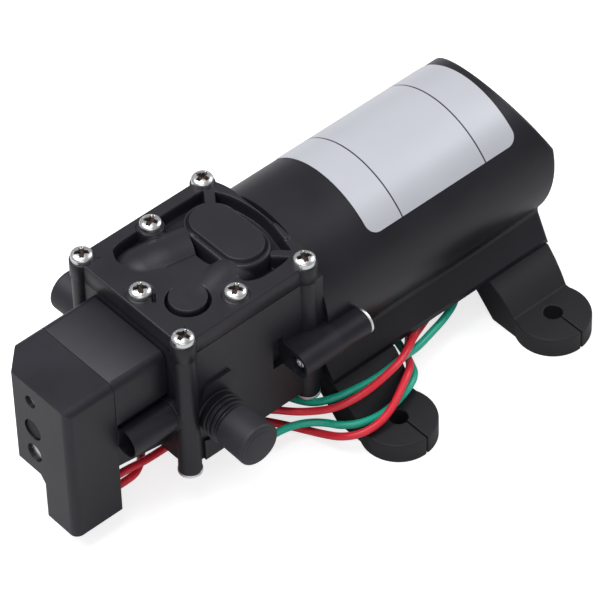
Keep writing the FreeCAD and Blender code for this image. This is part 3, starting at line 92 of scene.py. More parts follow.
leadTones = {"leadRed": (0.80, 0.022, 0.045), "leadGreen": (0.012, 0.48, 0.32)}


def newMaterial(name):
    material = bpy.data.materials.new(name)
    material.use_nodes = True
    nodes = material.node_tree.nodes
    return material, nodes, material.node_tree.links, nodes["Principled BSDF"]


def objectNoise(nodes, links, scale, detail):
    # noise that stands still on the piece, so many waves to the metre
    place = nodes.new("ShaderNodeTexCoord")
    noise = nodes.new("ShaderNodeTexNoise")
    noise.inputs["Scale"].default_value = scale
    noise.inputs["Detail"].default_value = detail
    links.new(place.outputs["Object"], noise.inputs["Vector"])
    return noise


def blendedTone(nodes, links, noise, low, high):
    # the colour runs from low to high with the noise
    shade = nodes.new("ShaderNodeMix")
    shade.data_type = "RGBA"
    shade.inputs["A"].default_value = (*low, 1)
    shade.inputs["B"].default_value = (*high, 1)
    links.new(noise.outputs["Fac"], shade.inputs["Factor"])
    return shade.outputs["Result"]


def unevenGloss(nodes, links, noise, surface, low, high):
    # the roughness runs from low to high with the noise
    gloss = nodes.new("ShaderNodeMapRange")
    gloss.inputs["To Min"].default_value = low
    gloss.inputs["To Max"].default_value = high
    links.new(noise.outputs["Fac"], gloss.inputs["Value"])
    links.new(gloss.outputs["Result"], surface.inputs["Roughness"])


def mouldedPlastic(name, tone, roughness, grain, grainDepth, mottling):
    # fine spark-eroded grain as bump, and a slow cloud that shades the tone and the gloss
    look = plasticLook
    material, nodes, links, surface = newMaterial(name)
    fine = objectNoise(nodes, links, grain, look["grainDetail"])
    cloud = objectNoise(nodes, links, look["cloud"], look["cloudDetail"])
    shade = nodes.new("ShaderNodeValToRGB")
    for stop, place, share in ((0, look["cloudFrom"], 1 - mottling),
                               (1, look["cloudTo"], 1 + mottling)):
        shade.color_ramp.elements[stop].position = place
        shade.color_ramp.elements[stop].color = (*[c * share for c in tone], 1)
    links.new(cloud.outputs["Fac"], shade.inputs["Fac"])
    links.new(shade.outputs["Color"], surface.inputs["Base Color"])
    unevenGloss(nodes, links, cloud, surface,
                roughness - look["glossier"], roughness + look["duller"])
    bump = nodes.new("ShaderNodeBump")
    bump.inputs["Strength"].default_value = look["bump"]
    bump.inputs["Distance"].default_value = grainDepth
    links.new(fine.outputs["Fac"], bump.inputs["Height"])
    links.new(bump.outputs["Normal"], surface.inputs["Normal"])
    surface.inputs["Specular IOR Level"].default_value = look["specular"]
    return material


def metal(name, tone, roughness):
    # even colour with fine uneven polish
    look = metalLook
    material, nodes, links, surface = newMaterial(name)
    noise = objectNoise(nodes, links, look["scratches"], look["detail"])
    links.new(blendedTone(nodes, links, noise, [c * look["dull"] for c in tone], tone),
              surface.inputs["Base Color"])
    unevenGloss(nodes, links, noise, surface,
                roughness * look["smoothest"], roughness * look["roughest"])
    surface.inputs["Metallic"].default_value = 1.0
    return material


def insulation(name, tone):
    # smooth, slightly waxy plastic that lets a little light in
    look = leadLook
    material, nodes, links, surface = newMaterial(name)
    noise = objectNoise(nodes, links, look["wax"], look["detail"])
    links.new(blendedTone(nodes, links, noise, [c * look["dull"] for c in tone], tone),
              surface.inputs["Base Color"])
    unevenGloss(nodes, links, noise, surface, look["smoothest"], look["roughest"])
    surface.inputs["Subsurface Weight"].default_value = look["under"]
    surface.inputs["Subsurface Radius"].default_value = look["underReach"]
    return material


finish = {name: mouldedPlastic(name, *values) for name, values in plastics.items()}
finish.update({name: metal(name, *values) for name, values in metals.items()})
finish.update({name: insulation(name, tone) for name, tone in leadTones.items()})
slotFinish = {
    "housing_plastic": "housingBlack", "head_plastic": "headBlack",
    "switch_plastic": "switchBlack", "port_plastic": "portBlack", "cap_rubber": "capRubber",
    "foot_rubber": "footRubber", "bright_steel": "brightSteel", "dark_steel": "darkSteel",
    "magnet": "ferrite", "copper": "copper", "carbon": "carbon", "board": "plateBrown",
    "seal_rubber": "sealRubber", "valve_plastic": "nylon", "lead_red": "leadRed",
    "lead_green": "leadGreen", "tinned": "tinned",
}
ownFinish = {"adjusting_screw": "blackened"}  # nodes that differ from their slot
slotOf = {s["node"]: s["material_slot"] for s in frame["record"]["subparts"]}
bodyOf = {node: body for body, members in frame["record"]["behaviour"]["bodies"].items()
          for node in members}
for nodeName, node in frame["nodes"].items():
    look = ownFinish.get(nodeName, slotFinish.get(slotOf[nodeName]))
    if look:
        node.data.materials.clear()
        node.data.materials.append(finish[look])
print("materials made")


# Shared by the new pieces
def addPiece(name, data, node, material):
    # links a piece that stands for a CAD node, gives it the material, rides on its body and
    # hides the node
    piece = bpy.data.objects.new(name, data)
    scene.collection.objects.link(piece)
    data.materials.clear()
    data.materials.append(material)
    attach(piece, bodyOf[node])
    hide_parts(node)
    return piece


def gridFaces(rows, columns, first=0, closed=False):
    # the cells of a grid of points, row after row; closed joins the last column to the first
    i, j = np.meshgrid(np.arange(rows - 1), np.arange(columns if closed else columns - 1),
                       indexing="ij")
    k = (j + 1) % columns
    return first + np.stack([i * columns + j, i * columns + k, (i + 1) * columns + k,
                             (i + 1) * columns + j], -1).reshape(-1, 4)


def tubeFaces(rows, around, first):
    # a closed tube of rings, with a face over its first ring and one over its last
    last = first + (rows - 1) * around
    return gridFaces(rows, around, first, True).tolist() + [
        list(range(first, first + around)), list(range(last, last + around))]


def weldedMesh(name, vertices, faces, sharp=40, perMetre=1000):
    # seams welded, faces turned outwards and shaded smooth, except at edges that bend by more
    # than the sharp angle, where 0 means none; perMetre is how many units make a metre
    mesh = bpy.data.meshes.new(name)
    mesh.from_pydata((np.asarray(vertices) / perMetre).tolist(), [],
                     [list(map(int, face)) for face in faces])
    work = bmesh.new()
    work.from_mesh(mesh)
    bmesh.ops.remove_doubles(work, verts=work.verts, dist=1e-7)
    bmesh.ops.recalc_face_normals(work, faces=work.faces)
    work.to_mesh(mesh)
    work.free()
    mesh.shade_smooth()
    if sharp:
        mesh.set_sharp_from_angle(angle=np.radians(sharp))
    return mesh


def revolved(profile, spots, axis, around, first=0):
    # each profile point (distance along the axis, radius) becomes a circle round the axis
    # through every spot; a point on the axis becomes a closed pole
    turn = np.linspace(0, 2 * np.pi, around, endpoint=False)
    line = np.array(profile, float)
    vertices, faces = [], []
    for spot, way in spots:
        along = way * line[:, :1] + 0 * turn
        u, v = line[:, 1:] * np.cos(turn), line[:, 1:] * np.sin(turn)
        order = {"x": (along, u, v), "y": (u, along, v), "z": (u, v, along)}[axis]
        faces += gridFaces(len(line), around, first + along.size * len(vertices), True).tolist()
        vertices.append(np.stack(order, -1).reshape(-1, 3) + np.array(spot))
    return np.vstack(vertices), faces


def turned(name, node, profile, spots, axis, around, look, sharp=35):
    # one piece from a revolved profile, repeated at every spot
    vertices, faces = revolved(profile, spots, axis, around)
    addPiece(name, weldedMesh(name, vertices, faces, sharp), node, finish[look])


# Moulded pieces, in metres and degrees: copies of CAD nodes with rounded edges
moulded = {
    "rounding": {"pump_head": 0.0004, "motor_housing": 0.0003, "switch_cover": 0.0005,
                 "foot_front_left": 0.0004, "foot_front_right": 0.0004,
                 "foot_rear_left": 0.0004, "foot_rear_right": 0.0004},
    "steps": 2, "sharp": 32.0, "weld": 2e-6, "flat": 0.6, "areaWeight": 80,
}
# Slits of the rubber feet, in metres: where they lie along the pump, how far out they start,
# and half their width as cut and as the rubber closes
footSlit = {"front": 0.0099, "rear": 0.0672, "beyond": 0.0419, "halfCut": 0.0006,
            "halfOpen": 0.00016, "near": 4e-5}


def closeSlit(mesh, middle):
    # the points on the two walls of the slit are drawn together
    points = np.empty(3 * len(mesh.vertices), np.float32)
    mesh.vertices.foreach_get("co", points)
    points = points.reshape(-1, 3)
    off = points[:, 0] - middle
    wall = ((np.abs(np.abs(off) - footSlit["halfCut"]) < footSlit["near"])
            & (np.abs(points[:, 1]) > footSlit["beyond"]))
    points[wall, 0] = middle + np.sign(off[wall]) * footSlit["halfOpen"]
    mesh.vertices.foreach_set("co", points.ravel())


def softened(node, width):
    # doubles merged, flat facets joined, edges rounded, and normals weighted by area so that
    # the wide faces stay flat
    mesh = frame["nodes"][node].data.copy()
    work = bmesh.new()
    work.from_mesh(mesh)
    bmesh.ops.remove_doubles(work, verts=work.verts, dist=moulded["weld"])
    bmesh.ops.dissolve_limit(work, angle_limit=np.radians(moulded["flat"]),
                             verts=work.verts, edges=work.edges)
    work.to_mesh(mesh)
    work.free()
    if node.startswith("foot"):
        closeSlit(mesh, footSlit["front" if "front" in node else "rear"])
    mesh.shade_smooth()
    piece = addPiece(node + "_moulded", mesh, node, finish[slotFinish[slotOf[node]]])
    bevel = piece.modifiers.new("roundedEdges", "BEVEL")
    bevel.width = width
    bevel.segments = moulded["steps"]
    bevel.limit_method = "ANGLE"
    bevel.angle_limit = np.radians(moulded["sharp"])
    bevel.harden_normals = True
    bevel.use_clamp_overlap = True
    even = piece.modifiers.new("evenNormals", "WEIGHTED_NORMAL")
    even.mode = "FACE_AREA"
    even.weight = moulded["areaWeight"]


for nodeName, width in moulded["rounding"].items():
    softened(nodeName, width)
print("moulded pieces rounded")


# Distances on a grid of plan points, all in millimetres
def toSegment(x, y, start, end):
    # distance from every grid point to the straight line between two points
    along = np.array(end, float) - start
    share = np.clip(((x - start[0]) * along[0] + (y - start[1]) * along[1])
                    / (along @ along), 0, 1)
    return np.hypot(x - start[0] - share * along[0], y - start[1] - share * along[1])


def smoothLoop(points, closed=True, steps=8):
    # cubic through the points, each span a blend of its four nearest points
    p = np.array(points, float)
    if closed:
        a, b, c, d = np.roll(p, 1, 0), p, np.roll(p, -1, 0), np.roll(p, -2, 0)
    else:
        q = np.vstack([2 * p[0] - p[1], p, 2 * p[-1] - p[-2]])
        a, b, c, d = q[:-3], q[1:-2], q[2:-1], q[3:]
    t = np.linspace(0, 1, steps, endpoint=False)[None, :, None]
    a, b, c, d = (k[:, None, :] for k in (a, b, c, d))
    curve = 0.5 * (2 * b + (c - a) * t + (2 * a - 5 * b + 4 * c - d) * t ** 2
                   + (3 * b - a - 3 * c + d) * t ** 3)
    curve = curve.reshape(-1, p.shape[1])
    return curve if closed else np.vstack([curve, p[-1]])


def toLoop(x, y, points):
    # distance to a closed outline, negative inside it, where a ray crosses it an odd number
    # of times
    loop = smoothLoop(points)
    reach = np.full(x.shape, 1e9)
    inside = np.zeros(x.shape, bool)
    for start, end in zip(loop, np.roll(loop, -1, 0)):
        reach = np.minimum(reach, toSegment(x, y, start, end))
        if start[1] != end[1]:
            crosses = (start[1] > y) != (end[1] > y)
            cut = start[0] + (y - start[1]) * (end[0] - start[0]) / (end[1] - start[1])
            inside ^= crosses & (x < cut)
    return np.where(inside, -reach, reach)


def within(reach, width=0.45):
    # 1 inside, 0 outside, with an S curve as wide as a moulded edge between them
    t = np.clip(0.5 - reach / width, 0, 1)
    return t * t * (3 - 2 * t)


def higher(a, b, fillet):
    # the higher of two surfaces with a soft crease where they cross
    share = np.clip(0.5 + 0.5 * (a - b) / fillet, 0, 1)
    return b * (1 - share) + a * share + fillet * share * (1 - share)


# Valve cover, all in millimetres
cover = {
    "low": 55.6, "top": 61.4, "gapFloor": 57.2, "front": -48.9, "half": 21.8, "boss": 3.5,
    "middle": (-26.0, 0.0), "rows": 262, "columns": 292,
    "screws": [(-47.16, -20.3), (-47.16, 20.3), (-5.56, -20.3), (-5.56, 20.3)],
    "rearCurve": [(-2.9, -17.9), (-2.15, -15.8), (-1.68, -12.6), (-1.65, -8.0), (-1.65, 0.0),
                  (-1.65, 9.0), (-1.68, 13.0), (-2.2, 15.8), (-2.9, 17.9)],
    "gap": [(-40.8, 12.0), (-40.0, 15.6), (-37.6, 17.5), (-30.0, 17.8), (-16.0, 17.9),
            (-8.6, 17.7), (-6.4, 16.6), (-5.4, 14.6), (-4.1, 11.8), (-3.2, 8.6), (-2.6, 4.8),
            (-2.4, 0.6), (-2.8, -3.3), (-3.9, -7.9), (-4.6, -11.6), (-5.6, -14.8),
            (-8.2, -16.4), (-12.6, -16.9), (-16.6, -16.9), (-19.5, -16.0), (-21.4, -14.2),
            (-21.4, -10.0), (-21.2, -6.0), (-23.9, -4.2), (-24.5, 0.1), (-24.0, 3.4),
            (-30.0, 8.0), (-37.0, 9.6)],
    "pit": [(-21.6, 6.4), (-23.2, 3.2), (-24.4, 0.1), (-23.9, -3.9), (-21.6, -4.4),
            (-20.6, 0.0)],
    # from, to, half width at the floor, ridge, and where, over what run and how far it sinks
    "ducts": [((-17.5, 5.3), (-36.3, 9.0), 7.8, 62.9, -29.0, 11.0, 0.9),
              ((-18.5, -8.0), (-36.5, -9.7), 6.1, 62.9, -21.5, 13.5, 1.5)],
    "crease": ((-24.6, 0.9), (-33.4, 2.6), 0.12, 0.55),  # from, to, half width, depth
    "chamber": ((-14.4, -5.9), (-14.4, 6.3), 7.8, 62.6),  # from, to, half width, height
    "lid": ((-14.2, -5.5), (-14.2, 6.4), 6.2, 0.9),  # from, to, half width, lift
    "lidGroove": (0.36, 0.2, 0.6),  # outside the lid, half width, depth
    "ribs": [((-5.6, 17.7), (-10.6, 11.1), 1.6), ((-5.4, -16.4), (-10.8, -10.9), 1.4)],
    # x, y, radius and depth of the ring round it
    "bosses": [(-26.36, 17.0, 3.8, 0.5), (-26.36, -17.0, 3.65, 0.45), (-44.26, 0.0, 3.7, 0.3)],
    "disc": ((-36.1, -9.3), 5.35), "moat": ((-36.8, -10.2), 6.0, 3.2),
    "slit": ((-42.1, -2.5), (-43.5, -4.5), 0.45, 1.1),
    "bead": ((-2.15, -5.2), (-3.15, -10.4), 0.85, 0.55),
    # how wide the moulded edge of each form is
    "edges": {"gap": 0.5, "duct": 0.3, "crease": 0.4, "pit": 0.5, "boss": 0.35, "ring": 0.3,
              "lid": 0.4, "moat": 0.4, "slit": 0.6, "bead": 0.7},
    # height and inset of the rings of the outer wall, from the upper edge down
    "inset": 0.4,
    "wall": [(61.33, 0.17), (61.2, 0.06), (61.0, 0.0), (55.85, 0.0), (55.6, 0.2)],
}


def coverSide(side, inset, count):
    # one side of the plan outline: arcs round the corner bosses and a line or curve between,
    # spaced evenly along its length
    (fx, fy), rx = cover["screws"][0], cover["screws"][3][0]
    boss, front, half = cover["boss"] - inset, cover["front"] + inset, cover["half"] - inset

    def arc(x, y, first, last):
        turn = np.radians(np.linspace(first, last, 24))
        return np.stack([x + boss * np.cos(turn), y + boss * np.sin(turn)], -1)

    if side in ("near", "far"):
        lean = np.degrees(np.arcsin((half + fy) / boss))
        path = np.vstack([arc(fx, fy, 225, 360 - lean), arc(rx, fy, 180 + lean, 315)])
        if side == "far":
            path = path * (1, -1)
    elif side == "front":
        lean = np.degrees(np.arccos((fx - front) / boss))
        path = np.vstack([arc(fx, fy, 225, 180 - lean), arc(fx, -fy, 180 + lean, 135)])
    else:
        curve = smoothLoop(cover["rearCurve"], closed=False)
        curve[:, 0] -= min(inset, 0.1)
        path = np.vstack([arc(rx, fy, -45, 38), curve, arc(rx, -fy, -38, 45)])
    run = np.concatenate([[0], np.cumsum(np.linalg.norm(np.diff(path, axis=0), axis=1))])
    even = np.linspace(0, run[-1], count)
    return np.stack([np.interp(even, run, path[:, k]) for k in (0, 1)], -1)


def coverHeight(x, y):
    # flat flange, less the deep gap, and over it the higher of ducts, ribs, bosses, chamber
    top, floorZ, edge = cover["top"], cover["gapFloor"], cover["edges"]
    z = top - (top - floorZ) * within(toLoop(x, y, cover["gap"]), edge["gap"])
    for start, end, half, ridge, sinkX, run, sink in cover["ducts"]:
        # half an ellipse across, with a ridge that sinks along an S curve
        reach = toSegment(x, y, start, end)
        t = np.clip((sinkX - x) / run, 0, 1)
        crown = ridge - sink * t * t * (3 - 2 * t)
        duct = floorZ + (crown - floorZ) * np.sqrt(np.clip(1 - (reach / half) ** 2, 0, 1))
        z = higher(z, np.where(reach < half, duct, floorZ - 1), edge["duct"])
    start, end, half, deep = cover["crease"]
    z = z - deep * within(toSegment(x, y, start, end) - half, edge["crease"])
    z = z + (floorZ - z) * within(toLoop(x, y, cover["pit"]), edge["pit"])
    for start, end, half in cover["ribs"]:
        z = np.maximum(z, floorZ + (top - floorZ) * within(toSegment(x, y, start, end) - half))
    for cx, cy, r, ring in cover["bosses"]:
        reach = np.hypot(x - cx, y - cy)
        z = z + (top - z) * within(reach - r, edge["boss"])
        z = z - ring * within(np.abs(reach - r) - 0.1, edge["ring"])
    start, end, half, rim = cover["chamber"]
    reach = toSegment(x, y, start, end)
    wall = np.interp(reach, [0, half - 0.75, half - 0.4, half - 0.12, half + 0.2, half + 0.45],
                     [rim, rim, rim - 0.18, rim - 0.8, floorZ - 0.5, floorZ - 2])
    z = np.maximum(z, wall)
    start, end, half, lift = cover["lid"]
    reach = toSegment(x, y, start, end) - half
    away, width, deep = cover["lidGroove"]
    z = (z + (rim + lift - z) * within(reach, edge["lid"])
         - deep * np.exp(-((reach - away) / width) ** 2))
    (mx, my), outer, deep = cover["moat"]
    (dx, dy), inner = cover["disc"]
    hollow = within(np.hypot(x - mx, y - my) - outer, edge["moat"])
    solid = within(np.hypot(x - dx, y - dy) - inner, edge["moat"])
    z = z - deep * hollow * (1 - solid)
    start, end, half, deep = cover["slit"]
    z = z - deep * within(toSegment(x, y, start, end) - half, edge["slit"])
    start, end, half, lift = cover["bead"]
    return z + lift * within(toSegment(x, y, start, end) - half, edge["bead"])


def valveCover():
    # a skin stretched between the four sides: sides blended across, less the corners' share
    rows, columns, inset = cover["rows"], cover["columns"], cover["inset"]
    near, far = coverSide("near", inset, columns), coverSide("far", inset, columns)
    front, rear = coverSide("front", inset, rows), coverSide("rear", inset, rows)
    front[0], front[-1], rear[0], rear[-1] = near[0], far[0], near[-1], far[-1]
    s = np.linspace(0, 1, columns)[None, :, None]
    t = np.linspace(0, 1, rows)[:, None, None]
    plan = ((1 - t) * near[None] + t * far[None] + (1 - s) * front[:, None] + s * rear[:, None]
            - (1 - s) * (1 - t) * near[0] - s * (1 - t) * near[-1]
            - (1 - s) * t * far[0] - s * t * far[-1])
    skin = np.dstack([plan, coverHeight(plan[..., 0], plan[..., 1])])
    # wall: the skin's own border, and then the outline at each level, drawn in by its inset
    rings = [np.vstack([skin[0, :-1], skin[:-1, -1], skin[-1, ::-1][:-1], skin[::-1, 0][:-1]])]
    for z, inset in cover["wall"]:
        ring = np.vstack([
            coverSide("near", inset, columns)[:-1], coverSide("rear", inset, rows)[:-1],
            coverSide("far", inset, columns)[::-1][:-1],
            coverSide("front", inset, rows)[::-1][:-1]])
        rings.append(np.column_stack([ring, np.full(len(ring), z)]))
    # base: a fan from the last ring to one point
    around, first = len(rings[0]), rows * columns
    last = first + (len(rings) - 1) * around
    k = np.arange(around)
    base = np.stack([last + k, last + (k + 1) % around, np.full(around, last + around)], -1)
    vertices = np.vstack([skin.reshape(-1, 3)] + rings + [[[*cover["middle"], cover["low"]]]])
    faces = (gridFaces(rows, columns).tolist()
             + gridFaces(len(rings), around, first, True).tolist() + base.tolist())
    addPiece("valve_cover_moulded", weldedMesh("valve_cover_moulded", vertices, faces, 0),
             "valve_cover", finish["headBlack"])


valveCover()
print("cover formed")

# Ports and their caps, in millimetres: distance from the middle and radius, turned about y
port = {"x": -38.7, "z": 30.2, "around": 112,
        "collar": [(20.5, 3.0), (20.5, 9.3), (21.85, 9.3), (21.85, 6.3), (22.1, 6.0),
                   (23.5, 6.0), (23.7, 5.75)],
        "thread": (23.8, 28.5, 95),  # from, to, points
        "ridges": (24.4, 26.0, 27.6), "ridge": 6.6, "groove": 5.75, "ridgeHalf": 0.42,
        "stub": [(28.7, 5.75), (28.9, 5.2), (29.2, 4.5), (37.3, 4.5), (37.5, 4.3),
                 (37.5, 3.0), (20.5, 3.0)]}
dustCap = {"near": 29.05, "far": 39.3, "out": 6.32, "flare": 0.14, "edge": 1.0, "bore": 4.6,
           "button": 4.75, "buttonHigh": 0.16, "end": 1.9}


def threadProfile():
    # rounded ridges: the radius swells as a flat-topped bell, the exponential of minus the
    # fourth power of the distance, at each turn of the thread
    y = np.linspace(*port["thread"])
    swell = sum(np.exp(-((y - at) / port["ridgeHalf"]) ** 4) for at in port["ridges"])
    r = port["groove"] + (port["ridge"] - port["groove"]) * swell
    return port["collar"] + list(zip(y, r)) + port["stub"] + [port["collar"][0]]


def capProfile():
    # a cup: bore, rim, slightly flared wall, rounded edge, faint raised button on its end
    near, far, out, edge = (dustCap[k] for k in ("near", "far", "out", "edge"))
    bore, button, high = (dustCap[k] for k in ("bore", "button", "buttonHigh"))
    inside = [(far - dustCap["end"], 0.0), (far - dustCap["end"], bore), (near + 0.02, bore),
              (near, bore + 0.2)]
    rim = [(near, out - 0.5), (near + 0.08, out - 0.2), (near + 0.25, out - 0.35)]
    y = np.linspace(near + 0.5, far - edge, 30)
    wall = out + dustCap["flare"] * ((y - near) / (far - near)) ** 3
    turn = np.linspace(0, np.pi / 2, 9)[1:]
    rounded = zip(far - edge + edge * np.sin(turn), wall[-1] - edge + edge * np.cos(turn))
    end = [(far, button + 0.12), (far + high * 0.7, button), (far + high, button - 0.2),
           (far + high, 0.0)]
    return inside + rim + list(zip(y, wall)) + list(rounded) + end


for name, way in (("outlet", -1), ("inlet", 1)):
    middle = [((port["x"], 0.0, port["z"]), way)]
    turned(name + "_port_turned", name + "_port", threadProfile(), middle, "y", port["around"],
           "portBlack")
    turned(name + "_cap_turned", name + "_cap", capProfile(), middle, "y", port["around"],
           "capRubber")
print("ports turned")

# Long side screws with their nut plates, and nuts with washers under the corner bosses, in
# millimetres: each profile runs from pole to pole as (place along its axis, radius)
fixings = {
    "side": [((0.0, -27.2, 34.5), 1), ((0.0, 27.2, 34.5), 1)],
    "screw": [(-13.7, 0.0), (-13.7, 0.75), (-14.2, 0.85), (-14.2, 1.25), (-13.9, 1.6),
              (-12.9, 1.6), (-12.9, 2.5), (-12.7, 2.6), (-12.6, 2.6), (-12.6, 1.5),
              (8.1, 1.5), (8.1, 0.0)],
    "plate": [(8.22, 0.0), (8.22, 3.6), (8.32, 3.72), (8.5, 3.75), (8.85, 3.75), (9.0, 3.66),
              (9.05, 3.5), (9.05, 0.0)],
    "nut": [(12.88, 0.0), (12.88, 3.3), (12.8, 3.4), (12.18, 3.4), (12.1, 3.3), (12.1, 2.6),
            (11.65, 2.6), (11.5, 2.4), (11.5, 0.0)],
    "around": {"screw": 64, "plate": 96, "nut": 64},
}
for name, node, part, spots, axis, look in (
        ("side_screws_turned", "joint_screws", "screw", fixings["side"], "x", "brightSteel"),
        ("nut_plates_turned", "joint_nuts", "plate", fixings["side"], "x", "whitePlated"),
        ("corner_nuts_turned", "corner_nuts", "nut",
         [((x, y, 0.0), 1) for x, y in cover["screws"]], "z", "whitePlated")):
    turned(name, node, fixings[part], spots, axis, fixings["around"][part], look)
print("fixings turned")

# Body of the switch, in millimetres: box with a rounded top, narrower waist below, side tubes
switchBody = {"seam": -66.38, "rear": -48.95, "half": 15.0, "top": 53.6, "shelf": 39.0,
              "topRound": 2.4, "shelfRound": 0.3, "lip": 0.22, "lipHalf": 0.35,
              "waistHalf": 13.6, "waistRound": 0.8, "bellySeam": 21.4, "bellyRear": 18.4,
              "tubeY": 16.3, "tubeZ": 32.6, "tubeR": 4.5, "tubeFront": -65.2, "edge": 0.12,
              "collarR": 5.05, "collarFront": -50.6, "bore": 3.95, "boreDeep": 11.0,
              "around": 72}


def carried(outline, spots, first):
    # the outline (y, z) is repeated at each x, drawn towards its middle by the given inset,
    # and its lower part is lifted
    middle = (outline.max(0) + outline.min(0)) / 2
    reach = (outline.max(0) - outline.min(0)) / 2
    share = np.clip((outline[:, 1] - outline[:, 1].min()) / (2 * reach[1]), 0, 1)
    rings = []
    for x, inset, lift in spots:
        ring = middle + (outline - middle) * (1 - inset / reach)
        ring[:, 1] += lift * (1 - share)
        rings.append(np.column_stack([np.full(len(ring), x), ring]))
    return np.vstack(rings), tubeFaces(len(rings), len(outline), first)


def cornered(half, low, high, lowRound, highRound):
    # rectangle outline with a rounding radius at its lower and at its upper corners
    points = []
    for cy, cz, r, start in ((half, high, highRound, 0), (-half, high, highRound, 90),
                             (-half, low, lowRound, 180), (half, low, lowRound, 270)):
        turn = np.radians(np.linspace(start, start + 90, 10))
        points.append(np.stack([cy - np.sign(cy) * r + r * np.cos(turn),
                                cz + (r if cz == low else -r) + r * np.sin(turn)], -1))
    return np.vstack(points)


def switchShell():
    # two carried outlines, the box and its waist, and two revolved tubes in one mesh
    s = switchBody
    seam, rear = s["seam"], s["rear"]
    box = cornered(s["half"], s["shelf"], s["top"], s["shelfRound"], s["topRound"])
    lip = np.exp(-((box[:, 1] - s["shelf"] - s["shelfRound"]) / s["lipHalf"]) ** 2)
    box[:, 0] *= 1 + s["lip"] / s["half"] * lip  # a bead along the shelf
    ends = [(seam, 0.35), (seam + 0.1, 0.12), (seam + 0.3, 0.0), (rear - 0.3, 0.0), (rear, 0.2)]
    vertices, faces = carried(box, [(x, inset, 0.0) for x, inset in ends], 0)
    # waist: its lower edge falls evenly from the seam to the rear
    waist = cornered(s["waistHalf"], s["bellyRear"], s["shelf"] + 1, s["waistRound"],
                     s["shelfRound"])
    fall = (s["bellySeam"] - s["bellyRear"]) / (rear - seam)
    more, extra = carried(waist, [(x, inset, fall * (rear - x)) for x, inset in ends],
                          len(vertices))
    vertices, faces = np.vstack([vertices, more]), faces + extra
    # tubes: bore, rounded mouth, wall, and a collar at the rear
    front, r, collar, edge = s["tubeFront"], s["tubeR"], s["collarFront"], s["edge"]
    deep = front + s["boreDeep"]
    tube = [(deep, 0.0), (deep, s["bore"]), (front + edge, s["bore"]),
            (front, s["bore"] + edge), (front, r - edge), (front + edge, r), (collar, r),
            (collar + 0.15, s["collarR"] - 0.1), (collar + 0.3, s["collarR"]),
            (rear, s["collarR"]), (rear, 0.0)]
    spots = [((0.0, way * s["tubeY"], s["tubeZ"]), 1) for way in (-1, 1)]
    more, extra = revolved(tube, spots, "x", s["around"], len(vertices))
    vertices, faces = np.vstack([vertices, more]), faces + extra
    addPiece("switch_body_moulded", weldedMesh("switch_body_moulded", vertices, faces, 32),
             "switch_body", finish["switchBlack"])


switchShell()
print("switch body formed")

